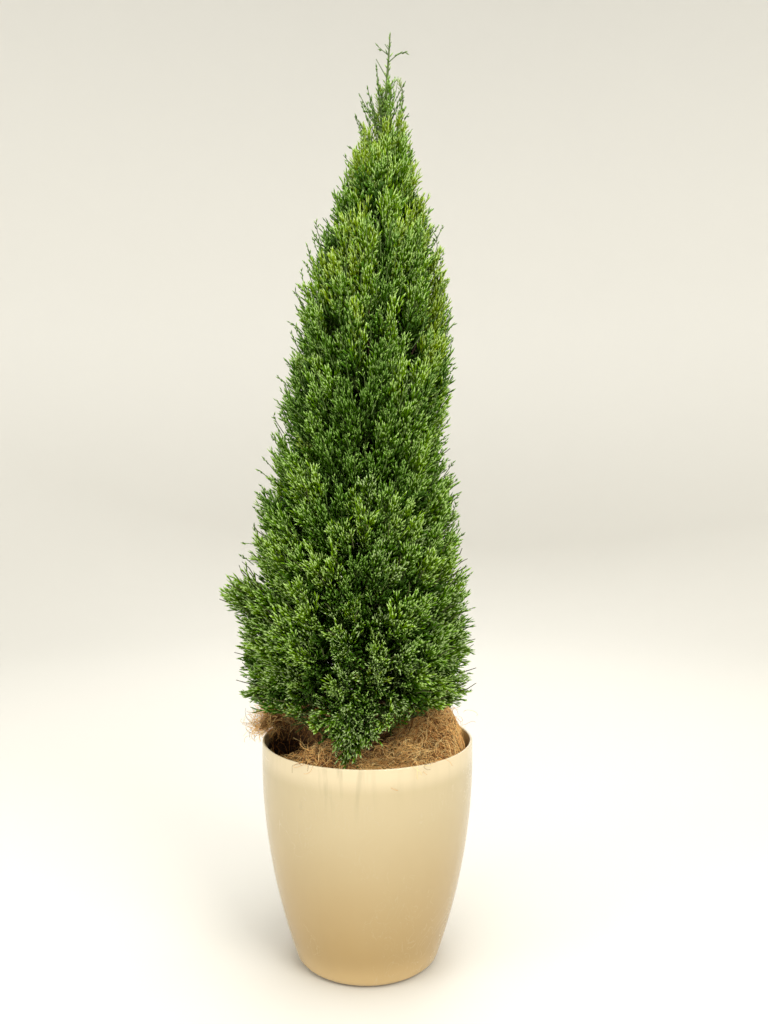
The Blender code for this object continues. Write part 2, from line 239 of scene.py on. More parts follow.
@dataclass(frozen=True)
class CrownForm:
    """The crown's outline, its tiers, and the way its twigs grow at each height."""

    trunk: TrunkForm = TrunkForm()
    # Height, centre in x, radius
    outline: tuple[tuple[float, float, float], ...] = (
        (0.290, -0.010, 0.118),
        (0.330, -0.013, 0.138),
        (0.370, -0.016, 0.151),
        (0.430, -0.015, 0.152),
        (0.500, -0.015, 0.148),
        (0.600, -0.014, 0.133),
        (0.710, -0.010, 0.110),
        (0.820, 0.009, 0.106),
        (0.900, 0.009, 0.094),
        (1.000, 0.017, 0.066),
        (1.100, 0.022, 0.038),
        (1.170, 0.027, 0.022),
        (1.232, 0.030, 0.006),
    )
    tiers: tuple[Tier, ...] = (
        Tier("skirt", 6, 3, 3, 0.360, 0.450, 2.9),
        Tier("lower", 6, 4, 3, 0.480, 0.620, 2.9),
        Tier("middle", 5, 4, 3, 0.620, 0.800, 2.7),
        Tier("upper", 5, 4, 2, 0.770, 0.970, 2.9),
        Tier("high", 4, 4, 2, 0.950, 1.120, 2.4),
        Tier("top", 3, 3, 1, 1.190, 1.232, 1.5),
    )
    # Height, elevation in degrees of the twigs at the outline
    growth: Stations = (
        (0.30, -22.0),
        (0.35, 8.0),
        (0.42, 27.0),
        (0.50, 42.0),
        (0.60, 50.0),
        (0.75, 58.0),
        (0.90, 64.0),
        (1.05, 71.0),
        (1.20, 82.0),
    )
    side_spray_angle: float = math.radians(184)
    side_spray_height: float = 0.487
    side_spray_reach: float = 0.038
    side_spray_angle_spread: float = math.radians(15)
    side_spray_height_spread: float = 0.030
    skirt_height: float = 0.350
    skirt_at_trunk: float = 0.305
    dip: float = 0.058
    dip_angle: float = math.radians(-97)
    dip_spread: float = math.radians(34)
    sector_shift: float = 0.7

    def reach(self, height: float, angle: float) -> float:
        """The distance from the trunk's middle to the outline.

        Args:
            height: Height above the floor.
            angle: Direction round the trunk.

        Returns:
            The level distance.
        """
        offset = along_stations(self.outline, height, 1) - self.trunk.x(height)
        radius = along_stations(self.outline, height, 2)
        across = offset * math.sin(angle)
        reach = offset * math.cos(angle) + math.sqrt(radius * radius - across * across)
        side = bell(turn_between(angle, self.side_spray_angle), self.side_spray_angle_spread)
        side *= bell(height - self.side_spray_height, self.side_spray_height_spread)
        return reach + self.side_spray_reach * side

    def bounds(self, tier: int, angle: float) -> tuple[float, float, float, float]:
        """Heights of a tier's bounds.

        Args:
            tier: Index of the tier from the bottom.
            angle: Direction round the trunk.

        Returns:
            The lower bound at the trunk and at the outline, then the upper bound at both.
        """
        upper = (self.tiers[tier].top_at_trunk, self.tiers[tier].top_at_outline)
        if tier > 0:
            below = self.tiers[tier - 1]
            return (below.top_at_trunk, below.top_at_outline) + upper
        dip = self.dip * bell(turn_between(angle, self.dip_angle), self.dip_spread)
        return (self.skirt_at_trunk, self.skirt_height - dip) + upper

    def underside(self, radius: float, angle: float) -> float:
        """The height of the lowest foliage at a distance and direction from the trunk."""
        inner, outer = self.bounds(0, angle)[:2]
        return inner + (outer - inner) * radius / self.reach(outer, angle)

    def polar(self, point: Vector) -> Span:
        """A point's distance and direction from the trunk's middle at its own height."""
        x = point.x - self.trunk.x(point.z)
        return math.hypot(x, point.y), math.atan2(point.y, x)

    def spot(self, height: float, angle: float, outward: float) -> Vector:
        """The point at a height, a direction and a share of the reach there."""
        radius = self.reach(height, angle) * outward
        x = self.trunk.x(height) + radius * math.cos(angle)
        return Vector((x, radius * math.sin(angle), height))

    def growing(self, point: Vector, rise: float | None = None) -> Vector:
        """The way that a twig grows at a point: outward, and steeper the higher it is.

        Args:
            point: The point.
            rise: The elevation in degrees, where it isn't the usual one.

        Returns:
            The unit vector.
        """
        angle = self.polar(point)[1]
        lift = math.radians(along_stations(self.growth, point.z, 1) if rise is None else rise)
        level = math.cos(lift)
        return Vector((math.cos(angle) * level, math.sin(angle) * level, math.sin(lift)))


class Cell:
    """The space of one mass of foliage: a sector of one tier round the trunk."""

    def __init__(self, crown: CrownForm, tier: int, index: int) -> None:
        """Work out the sector's middle and width."""
        self.crown = crown
        self.tier = tier
        self.half_turn = math.pi / crown.tiers[tier].masses
        steps = 2 * index + crown.sector_shift * tier
        self.angle = crown.dip_angle + steps * self.half_turn

    def place(self, across: float, up: float, outward: float) -> Vector:
        """The point at three shares of the cell.

        Args:
            across: From -1 to 1 across the sector.
            up: From 0 to 1 up the tier.
            outward: From 0 at the trunk's middle to 1 at the outline.

        Returns:
            The point.
        """
        angle = self.angle + across * self.half_turn
        low_in, low_out, high_in, high_out = self.crown.bounds(self.tier, angle)
        inner = low_in + (high_in - low_in) * up
        outer = low_out + (high_out - low_out) * up
        height = inner + (outer - inner) * outward
        radius = outward * self.crown.reach(outer, angle)
        middle = self.crown.trunk.x(height)
        return Vector((middle + radius * math.cos(angle), radius * math.sin(angle), height))


@dataclass(frozen=True)
class SprayRule:
    """Where the sprays of a mass stand: the same numbers and the same draws as the solids."""

    seed: int = 41
    stem_heights: Span = (0.38, 0.62)
    branching_reach: float = 0.32
    stem_end: float = 0.80
    root_reach: float = 0.50
    tip_reach: Span = (0.97, 1.05)
    stagger: float = 0.25
    row_jitter: float = 0.2
    column_jitter: float = 0.12
    spread_across: float = 0.97
    spread_up: float = 1.12
    gather: float = 0.8
    rise: float = 0.14
    lowest_root: float = 0.06

    def draws(self, tier: int, index: int) -> Rng:
        """The random draws that belong to one mass."""
        return random.Random(self.seed + 100 * tier + index)

    def shares(self, tier: Tier, rng: Rng) -> Iterator[tuple[float, float, float]]:
        """The places of the sprays on the mass's outer face.

        Args:
            tier: The tier with its rows and columns.
            rng: The mass's own draws.

        Yields:
            The shares across, up and outward of each spray's tip.
        """
        for row in range(tier.rows):
            for column in range(tier.columns):
                stagger = self.stagger if row % 2 else -self.stagger
                jitter = rng.uniform(-1, 1) * self.column_jitter
                column_middle = column + 0.5 + stagger + jitter
                row_middle = row + 0.5 + rng.uniform(-1, 1) * self.row_jitter
                across = self.spread_across * (2 * column_middle / tier.columns - 1)
                up = 0.5 + self.spread_up * (row_middle / tier.rows - 0.5)
                outward = rng.uniform(*self.tip_reach)
                rng.uniform(0, TURN)
                yield across, up, outward

    def root(self, cell: Cell, across: float, up: float) -> Vector:
        """The root of the spray whose tip stands at the given shares."""
        root_up = max(self.lowest_root, 0.5 + self.gather * (up - 0.5) - self.rise)
        return cell.place(self.gather * across, root_up, self.root_reach)


# Benches for node trees


class Value:
    """A number that varies over a surface, with Python's operators as Math nodes."""

    def __init__(self, bench: "Bench", socket: Socket) -> None:
        """Wrap an output socket."""
        self.bench = bench
        self.socket = socket

    def _math(self, operation: str, first: object, *others: object) -> "Value":
        """Add a Math node.

        Args:
            operation: Blender's name of the operation.
            first: The first input, a value or a number.
            others: The inputs after it.

        Returns:
            The result.
        """
        inputs = dict(enumerate((first, *others)))
        node = self.bench.node("ShaderNodeMath", {"operation": operation}, inputs)
        return Value(self.bench, node.outputs[0])

    def __add__(self, other: object) -> "Value":
        """Sum."""
        return self._math("ADD", self, other)

    __radd__ = __add__

    def __sub__(self, other: object) -> "Value":
        """Difference."""
        return self._math("SUBTRACT", self, other)

    def __rsub__(self, other: object) -> "Value":
        """Difference with the value taken away."""
        return self._math("SUBTRACT", other, self)

    def __mul__(self, other: object) -> "Value":
        """Product."""
        return self._math("MULTIPLY", self, other)

    __rmul__ = __mul__

    def __pow__(self, other: object) -> "Value":
        """Power."""
        return self._math("POWER", self, other)

    def __rpow__(self, other: object) -> "Value":
        """Power with the value as the exponent."""
        return self._math("POWER", other, self)

    def between(self, low: float, high: float) -> "Value":
        """A smooth step from 0 at the low bound to 1 at the high one."""
        settings = {"interpolation_type": "SMOOTHSTEP"}
        inputs = {"Value": self, "From Min": low, "From Max": high}
        return Value(self.bench, self.bench.node("ShaderNodeMapRange", settings, inputs).outputs[0])


class Bench:
    """Adds nodes to one tree."""

    def __init__(self, tree: bpy.types.NodeTree) -> None:
        """Start on a tree."""
        self.tree = tree

    @staticmethod
    def _socket(sockets: bpy.types.bpy_prop_collection, name: str | int) -> Socket:
        """Find a socket by its place, or by its name or identifier among those in use."""
        if isinstance(name, int):
            return sockets[name]
        return next(s for s in sockets if s.enabled and name in (s.name, s.identifier))

    def node(self, kind: str, settings: Mapping[str, object] | None = None,
             inputs: Mapping[str | int, object] | None = None) -> bpy.types.Node:
        """Add a node: its settings are set first, and then its inputs.

        Args:
            kind: Blender's type of the node.
            settings: Properties of the node, such as a Math node's operation.
            inputs: A number, colour, socket or Value for each named input.

        Returns:
            The node.
        """
        node = self.tree.nodes.new(kind)
        for name, value in (settings or {}).items():
            setattr(node, name, value)
        for name, value in (inputs or {}).items():
            self.plug(value, self._socket(node.inputs, name))
        return node

    def plug(self, value: object, socket: Socket) -> None:
        """Link a value to an input, or set the input to a plain number or colour."""
        source = value.socket if isinstance(value, Value) else value
        if isinstance(source, Socket):
            self.tree.links.new(source, socket)
        elif socket.type == "RGBA" and len(source) == 3:
            socket.default_value = (*source, 1.0)
        else:
            socket.default_value = source

    def value(self, kind: str, settings: Mapping[str, object] | None = None,
              inputs: Mapping[str | int, object] | None = None,
              output: str | int = 0) -> Value:
        """Add a node as node() does, and wrap one of its outputs."""
        node = self.node(kind, settings, inputs)
        return Value(self, self._socket(node.outputs, output))


class FinishBench(Bench):
    """A bench for one material, with the nodes that finishes share."""

    def __init__(self, name: str) -> None:
        """Make the material and find its surface shader."""
        self.material = bpy.data.materials.new(name)
        self.material.use_nodes = True
        super().__init__(self.material.node_tree)
        self.surface = self.tree.nodes["Principled BSDF"]
        self.spot = self.node("ShaderNodeTexCoord").outputs["Object"]

    def set(self, **inputs: object) -> None:
        """Set or link the surface shader's inputs, with _ for a space in their names."""
        for name, value in inputs.items():
            self.plug(value, self.surface.inputs[name.replace("_", " ")])

    def stretched(self, scale: tuple[float, float, float]) -> Socket:
        """Object coordinates stretched along the axes."""
        return self.node("ShaderNodeMapping", {}, {"Vector": self.spot, "Scale": scale}).outputs[0]

    def noise(self, scale: float, detail: float = 2.0, roughness: float = 0.5,
              spot: Socket | None = None, distortion: float = 0.0) -> Value:
        """A noise that varies between about 0.3 and 0.7."""
        inputs = {"Vector": spot or self.spot, "Scale": scale, "Detail": detail,
                  "Roughness": roughness, "Distortion": distortion}
        return self.value("ShaderNodeTexNoise", {}, inputs, "Fac")

    def height(self) -> Value:
        """The height above the floor."""
        return self.value("ShaderNodeSeparateXYZ", {}, {0: self.spot}, "Z")

    def along(self, angle: float) -> Value:
        """How far out a place lies in a level direction."""
        level = self.node("ShaderNodeSeparateXYZ", {}, {0: self.spot}).outputs
        return Value(self, level["X"]) * math.cos(angle) + Value(self, level["Y"]) * math.sin(angle)

    def mix(self, share: object, first: object, second: object) -> Socket:
        """Blend two colours."""
        inputs = {"Factor": share, "A": first, "B": second}
        return self.node("ShaderNodeMix", {"data_type": "RGBA"}, inputs).outputs["Result"]

    def bump(self, height: Value, strength: float, distance: float) -> Socket:
        """Relief from a value."""
        inputs = {"Height": height, "Strength": strength, "Distance": distance}
        return self.node("ShaderNodeBump", {}, inputs).outputs[0]


# Finishes


@dataclass(frozen=True)
class PlainFinish:
    """One even colour for the small parts that are dealt out by the spray or by the strand."""

    name: str
    colour: Colour
    roughness: float = 0.5
    specular: float = 0.5

    def make(self) -> Material:
        """Make the material."""
        bench = FinishBench(self.name)
        bench.set(Base_Color=self.colour, Roughness=self.roughness,
                  Specular_IOR_Level=self.specular)
        return bench.material


class Tone(Enum):
    """The foliage's tones: body and tip colours of the sprays that take them."""

    # SHADE is painted shade for the crown's inside; DEEP serves as painted shade there too, besides
    # being a plume tone
    SHADE = ("shade", (0.021, 0.060, 0.001), (0.036, 0.092, 0.004))
    DEEP = ("deep", (0.042, 0.116, 0.001), (0.148, 0.268, 0.044))
    GREY = ("grey", (0.082, 0.172, 0.004), (0.312, 0.432, 0.160))
    MID = ("mid", (0.091, 0.210, 0.002), (0.282, 0.437, 0.108))
    BRIGHT = ("bright", (0.143, 0.276, 0.003), (0.338, 0.496, 0.130))
    FRESH = ("fresh", (0.208, 0.325, 0.006), (0.325, 0.455, 0.098))

    @property
    def label(self) -> str:
        """The tone's name."""
        return self.value[0]

    def body(self) -> PlainFinish:
        """The finish of the cords."""
        return PlainFinish(f"foliage_{self.label}", self.value[1], 0.55, specular=0.1)

    def tip(self) -> PlainFinish:
        """The finish of the blunt ends, paler as young growth and as a painted highlight."""
        return PlainFinish(f"foliage_{self.label}_tip", self.value[2], 0.45, specular=0.25)


class Strand(Enum):
    """The coir's tones, dealt out by the strand."""

    PALE = ("pale", (0.98, 0.71, 0.31))
    TAN = ("tan", (0.90, 0.545, 0.19))
    RUST = ("rust", (0.62, 0.30, 0.095))
    DARK = ("dark", (0.13, 0.058, 0.022))

    def finish(self) -> PlainFinish:
        """The finish of a strand of this tone."""
        return PlainFinish(f"coir_{self.value[0]}", self.value[1], 0.7, specular=0.3)


@dataclass(frozen=True)
class PlanterFinish:
    """Glossy cream plastic, warmer towards the foot as painted shade and bounce, faint streaks, fine
    scratches.
    """

    # A painted highlight round the rim
    lip: Colour = (0.632, 0.532, 0.352)
    cream: Colour = (0.508, 0.422, 0.262)
    # Painted shade and warm floor bounce, taken towards the foot
    warm: Colour = (0.394, 0.271, 0.115)
    foot: Colour = (0.660, 0.480, 0.240)
    grime: Colour = (0.300, 0.265, 0.160)
    # Heights over which a colour fades in
    cream_over: Span = (0.02, 0.29)
    foot_over: Span = (0.0, 0.060)
    lip_over: Span = (0.262, 0.284)
    drips_over: Span = (0.215, 0.290)
    # How much of the grime and painted reflection colour each mark takes
    rubbed_grime: float = 0.20
    drip_grime: float = 0.08
    # The front drips under the low spray are partly grime and partly its painted reflection and shadow
    side_drip_grime: float = 0.34
    scratch_grime: float = 0.16
    scratch_fineness: float = 90.0
    streak_angle: float = math.radians(-104)
    streak_from: float = 0.93
    radius: float = 0.1415

    def make(self) -> Material:
        """Make the material."""
        bench = FinishBench("planter_gloss")
        height = bench.height()
        clouds = bench.noise(9.0, 3.0)
        # Painted shade and floor bounce: darker and warmer lower down
        rise = height.between(*self.cream_over) + (clouds - 0.5) * 0.25
        body = bench.mix(rise, self.warm, self.cream)
        body = bench.mix((1.0 - height.between(*self.foot_over)) ** 2.0 * 0.7, body, self.foot)
        # A painted highlight round the rim
        body = bench.mix(height.between(*self.lip_over), body, self.lip)
        streaks = bench.noise(95.0, 3.0, 0.6, bench.stretched((1.0, 1.0, 0.10)), 0.3)
        drip = streaks.between(0.46, 0.70) * height.between(*self.drips_over)
        marks = bench.noise(60.0, 5.0, 0.7, bench.stretched((1.0, 1.0, 0.35)), 1.5)
        rubbed = marks.between(0.64, 0.74) * clouds.between(0.45, 0.6)
        # Streaks at the front, under the low spray: partly grime, partly its painted reflection and
        # shadow
        aside = bench.along(self.streak_angle)
        side = aside.between(self.streak_from * self.radius, self.radius)
        wear_and_reflection = rubbed * self.rubbed_grime + drip * (self.drip_grime + side * self.side_drip_grime)
        scratch = bench.noise(34.0, 2.0, 0.5, bench.stretched((1.0, 1.0, 0.5)), 2.2)
        line = (1.0 - ((scratch - 0.5) * self.scratch_fineness) ** 2.0).between(0.0, 1.0)
        line = line * clouds.between(0.50, 0.62)
        bench.set(Base_Color=bench.mix(wear_and_reflection + line * self.scratch_grime, body, self.grime),
                  Roughness=0.20 + rubbed * 0.25 + line * 0.2 + (clouds - 0.5) * 0.08,
                  Specular_IOR_Level=0.35, Coat_Weight=0.14, Coat_Roughness=0.06,
                  Normal=bench.bump(bench.noise(14.0, 2.0) - line * 0.1, 0.10, 0.004))
        return bench.material


@dataclass(frozen=True)
class BarkFinish:
    """Fibrous red-brown bark that turns to smooth green near the tip of the leader."""

    furrow: Colour = (0.045, 0.024, 0.014)
    ridge: Colour = (0.235, 0.140, 0.085)
    young: Colour = (0.072, 0.112, 0.024)
    green_over: Span = (0.97, 1.06)
    green_wander: float = 0.08

    def make(self) -> Material:
        """Make the material."""
        bench = FinishBench("bark")
        strips = bench.noise(180.0, 5.0, 0.65, bench.stretched((1.0, 1.0, 0.10)), 0.4)
        patches = bench.noise(40.0, 3.0)
        wood = bench.mix(strips.between(0.36, 0.64), self.furrow, self.ridge)
        wood = bench.mix(patches.between(0.4, 0.7) * 0.35, wood, self.furrow)
        greening = bench.height() + (patches - 0.5) * self.green_wander
        colour = bench.mix(greening.between(*self.green_over), wood, self.young)
        bench.set(Base_Color=colour, Roughness=0.90 - strips * 0.2,
                  Normal=bench.bump(strips, 0.6, 0.0015))
        return bench.material


@dataclass(frozen=True)
class SoilFinish:
    """Dark moist potting soil with crumbs."""

    dark: Colour = (0.018, 0.011, 0.007)
    pale: Colour = (0.085, 0.052, 0.032)

    def make(self) -> Material:
        """Make the material."""
        bench = FinishBench("potting_soil")
        crumbs = bench.noise(240.0, 6.0, 0.7)
        clods = bench.noise(60.0, 3.0)
        colour = bench.mix(crumbs.between(0.40, 0.66), self.dark, self.pale)
        bench.set(Base_Color=colour, Roughness=0.95 - clods * 0.2,
                  Normal=bench.bump(crumbs + clods, 0.8, 0.002))
        return bench.material


@dataclass(frozen=True)
class CoirBedFinish:
    """The matted coir under the loose strands, with painted shade in its hollow."""

    hollow: "Heap"
    deep: Colour = (0.20, 0.095, 0.030)
    mat: Colour = (0.58, 0.33, 0.115)
    # Painted shade for the hollow
    moist: Colour = (0.055, 0.022, 0.008)
    dries_over: Span = (0.284, 0.300)
    fades_over: Span = (0.80, 1.25)
    fineness: float = 330.0
    stretch: float = 0.16

    def make(self) -> Material:
        """Make the material."""
        bench = FinishBench("coir_mat")
        across, along = (
            bench.noise(self.fineness, 4.0, 0.6, bench.stretched(scale), 0.8)
            for scale in ((self.stretch, 1.0, 1.0), (1.0, self.stretch, 1.0))
        )
        tufts = bench.noise(45.0, 3.0)
        colour = bench.mix((across * along * 2.0).between(0.38, 0.66), self.deep, self.mat)
        colour = bench.mix(tufts.between(0.42, 0.62) * 0.5, colour, self.deep)
        # Painted shade: darker near the hollow's middle and low down, fading out over these spreads and
        # heights
        aside = (bench.along(0.0) - self.hollow.x) ** 2.0
        off = (aside + (bench.along(math.pi / 2) - self.hollow.y) ** 2.0) ** 0.5
        near = 1.0 - off.between(*(share * self.hollow.spread for share in self.fades_over))
        low = 1.0 - bench.height().between(*self.dries_over)
        colour = bench.mix(near * low, colour, self.moist)
        bench.set(Base_Color=colour, Roughness=0.92 - tufts * 0.1,
                  Normal=bench.bump(across + along, 0.9, 0.002))
        return bench.material


@dataclass(frozen=True)
class StudioFinish:
    """Plain pale paint, lighter where the floor sweeps up."""

    floor: Colour = (0.66, 0.645, 0.60)
    sweep: Colour = (0.82, 0.81, 0.775)
    sweep_over: Span = (0.0, 1.6)

    def make(self) -> Material:
        """Make the material."""
        bench = FinishBench("studio_floor")
        rise = bench.height().between(*self.sweep_over) + (bench.noise(0.8) - 0.5) * 0.1
        bench.set(Base_Color=bench.mix(rise, self.floor, self.sweep), Roughness=0.85)
        return bench.material


# Pieces


def add_piece(name: str, mesh: Mesh) -> Item:
    """Link a mesh to the scene as an object at the origin."""
    item = bpy.data.objects.new(name, mesh)
    bpy.context.scene.collection.objects.link(item)
    return item


def add_smooth(mesh: Mesh, finish: Material) -> Item:
    """Shade a mesh smooth, give it its finish and add it as a piece of its own name."""
    mesh.shade_smooth()
    mesh.materials.append(finish)
    return add_piece(mesh.name, mesh)


def mesh_from(name: str, shape: Shape) -> Mesh:
    """Turn a bmesh into a mesh, with its faces pointing out, and free it."""
    bmesh.ops.recalc_face_normals(shape, faces=shape.faces)
    mesh = bpy.data.meshes.new(name)
    shape.to_mesh(mesh)
    shape.free()
    return mesh


def bridge(shape: Shape, rings: Sequence[Sequence[bmesh.types.BMVert]]) -> None:
    """Join each ring to the next one by faces. A ring of one vertex closes the shape to a point."""
    for near, far in zip(rings, rings[1:]):
        for k in range(max(len(near), len(far))):
            corners = [near[k % len(near)], near[(k + 1) % len(near)],
                       far[(k + 1) % len(far)], far[k % len(far)]]
            shape.faces.new(list(dict.fromkeys(corners)))


def turned(profile: Iterable[Span], sides: int) -> Shape:
    """Turn an outline about the vertical axis.

    Args:
        profile: The radius and height of each point, so that the faces look away from the axis
            where the outline rises.
        sides: How many sides a ring has.

    Returns:
        The shape.
    """
    shape = bmesh.new()
    rings = []
    for radius, height in profile:
        size = sides if radius else 1
        turns = [TURN * k / size for k in range(size)]
        rings.append([shape.verts.new((radius * math.cos(t), radius * math.sin(t), height))
                      for t in turns])
    bridge(shape, rings)
    return shape


def register(item: Item, nodes: Iterable[str] = ()) -> None:
    """Let a piece ride on the body, and hide the solids that it stands for.

    Args:
        item: The piece.
        nodes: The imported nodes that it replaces.
    """
    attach(item, BODY)
    if nodes:
        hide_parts(*nodes)
    item.data.calc_loop_triangles()
    LOG.info("%s: %d triangles", item.name, len(item.data.loop_triangles))


class ShapeTree:
    """A Geometry Nodes tree with named inputs that turns a guide mesh into a finished mesh."""

    def __init__(self, name: str, inputs: Mapping[str, str]) -> None:
        """Start a tree.

        Args:
            name: The tree's name.
            inputs: The socket type of each named input after the geometry.
        """
        self.tree = bpy.data.node_groups.new(name, "GeometryNodeTree")
        kinds = {"Geometry": "NodeSocketGeometry", **inputs}
        self.sockets = {
            label: self.tree.interface.new_socket(label, in_out="INPUT", socket_type=kind)
            for label, kind in kinds.items()
        }
        self.tree.interface.new_socket("Geometry", in_out="OUTPUT", socket_type="NodeSocketGeometry")
        self.bench = Bench(self.tree)
        self.given = self.bench.node("NodeGroupInput").outputs

    def read(self, name: str, kind: str = "FLOAT") -> Socket:
        """Read a named attribute."""
        settings = {"data_type": kind}
        node = self.bench.node("GeometryNodeInputNamedAttribute", settings, {"Name": name})
        return next(socket for socket in node.outputs if socket.enabled)

    def step(self, kind: str, inputs: Mapping[str | int, object]) -> Socket:
        """Add a node that works on geometry, and return its first output."""
        return self.bench.node(kind, {}, inputs).outputs[0]

    def finish(self, geometry: Socket, *dressings: tuple[str, str | None]) -> None:
        """End the tree: realize, shade smooth and set the materials.

        Args:
            geometry: The shape so far.
            dressings: Material inputs, each with the attribute that selects its faces.
        """
        made = self.step("GeometryNodeRealizeInstances", {"Geometry": geometry})
        made = self.step("GeometryNodeSetShadeSmooth", {0: made})
        for label, attribute in dressings:
            inputs = {"Geometry": made, "Material": self.given[label]}
            if attribute:
                inputs["Selection"] = self.read(attribute, "BOOLEAN")
            made = self.step("GeometryNodeSetMaterial", inputs)
        self.bench.node("NodeGroupOutput", {}, {0: made})

    def run(self, guide: Mesh, values: Mapping[str, object]) -> Mesh:
        """Put a guide mesh through the tree.

        Args:
            guide: The mesh with its attributes. It is used up.
            values: The value of each named input.

        Returns:
            The finished plain mesh, without the guide's attributes.
        """
        item = add_piece(guide.name + "_guide", guide)
        modifier = item.modifiers.new("shape", "NODES")
        modifier.node_group = self.tree
        for label, value in values.items():
            modifier[self.sockets[label].identifier] = value
        graph = bpy.context.evaluated_depsgraph_get()
        made = bpy.data.meshes.new_from_object(item.evaluated_get(graph), depsgraph=graph)
        item.modifiers.clear()
        bpy.data.objects.remove(item)
        bpy.data.meshes.remove(guide)
        for label in ("turn", "size", "kind", "girth", "is_tip"):
            if label in made.attributes:
                made.attributes.remove(made.attributes[label])
        return made


class LimbTree(ShapeTree):
    """Round limbs along the edges of a guide mesh, as thick as its points say."""

    def __init__(self) -> None:
        """Build the tree."""
        super().__init__("limbs", {"Sides": "NodeSocketInt", "Finish": "NodeSocketMaterial"})
        curve = self.step("GeometryNodeMeshToCurve", {"Mesh": self.given["Geometry"]})
        ring = self.step("GeometryNodeCurvePrimitiveCircle",
                         {"Resolution": self.given["Sides"], "Radius": 1.0})
        skin = {"Curve": curve, "Profile Curve": ring, "Scale": self.read("girth"),
                "Fill Caps": True}
        self.finish(self.step("GeometryNodeCurveToMesh", skin), ("Finish", None))


class SprigTree(ShapeTree):
    """Sprigs at the points of a guide mesh, turned, sized and picked as its points say."""

    def __init__(self) -> None:
        """Build the tree."""
        super().__init__("sprigs", {"Patterns": "NodeSocketCollection",
                                    "Body": "NodeSocketMaterial", "Tips": "NodeSocketMaterial"})
        patterns = self.step("GeometryNodeCollectionInfo", {
            "Collection": self.given["Patterns"], "Separate Children": True,
            "Reset Children": True})
        turn = self.step("FunctionNodeEulerToRotation", {0: self.read("turn", "FLOAT_VECTOR")})
        self.finish(self.step("GeometryNodeInstanceOnPoints", {
            "Points": self.given["Geometry"], "Instance": patterns, "Pick Instance": True,
            "Instance Index": self.read("kind", "INT"), "Rotation": turn,
            "Scale": self.read("size")}), ("Body", None), ("Tips", "is_tip"))


class Limbs:
    """Runs of points with their thickness, gathered for the limb tree."""

    def __init__(self) -> None:
        """Start with no runs."""
        self.points: list[Vector] = []
        self.girths: list[float] = []
        self.edges: list[tuple[int, int]] = []

    def add(self, points: Sequence[Vector], girths: Sequence[float]) -> None:
        """Add one limb.

        Args:
            points: The points along its middle.
            girths: Its radius at each point.
        """
        start = len(self.points)
        self.points.extend(points)
        self.girths.extend(girths)
        self.edges.extend((start + k, start + k + 1) for k in range(len(points) - 1))

    def make(self, name: str, tree: LimbTree, sides: int,
             finish: Material) -> Item:
        """Skin the runs.

        Args:
            name: The piece's name.
            tree: The limb tree.
            sides: How many sides a limb has.
            finish: Its material.

        Returns:
            The piece.
        """
        guide = bpy.data.meshes.new(name)
        guide.from_pydata(self.points, self.edges, [])
        girth = guide.attributes.new("girth", "FLOAT", "POINT")
        girth.data.foreach_set("value", self.girths)
        return add_piece(name, tree.run(guide, {"Sides": sides, "Finish": finish}))


@dataclass
class SprigBed:
    """The places of the sprigs that share a tone."""

    places: list[Vector] = field(default_factory=list)
    turns: list[tuple[float, float, float]] = field(default_factory=list)
    sizes: list[float] = field(default_factory=list)
    kinds: list[int] = field(default_factory=list)

    def add(self, place: Vector, direction: Vector, roll: float, size: float, kind: int) -> None:
        """Add one sprig.

        Args:
            place: Its root.
            direction: The way it points.
            roll: Its turn about itself.
            size: Its scale.
            kind: Which pattern it takes.
        """
        pose = direction.to_track_quat("Z", "Y").to_matrix() @ Matrix.Rotation(roll, 3, "Z")
        self.places.append(place)
        self.turns.append(tuple(pose.to_euler()))
        self.sizes.append(size)
        self.kinds.append(kind)

    def guide(self, name: str, part: slice) -> Mesh:
        """A mesh of points that holds part of the bed.

        Args:
            name: The mesh's name.
            part: Which of the sprigs it holds.

        Returns:
            The mesh, with turn, size and kind as attributes.
        """
        mesh = bpy.data.meshes.new(name)
        mesh.from_pydata(self.places[part], [], [])
        for label, kind, key, values in (
            ("turn", "FLOAT_VECTOR", "vector", self.turns),
            ("size", "FLOAT", "value", self.sizes),
            ("kind", "INT", "value", self.kinds),
        ):
            store = mesh.attributes.new(label, kind, "POINT")
            store.data.foreach_set(key, np.array(values[part]).ravel())
        return mesh


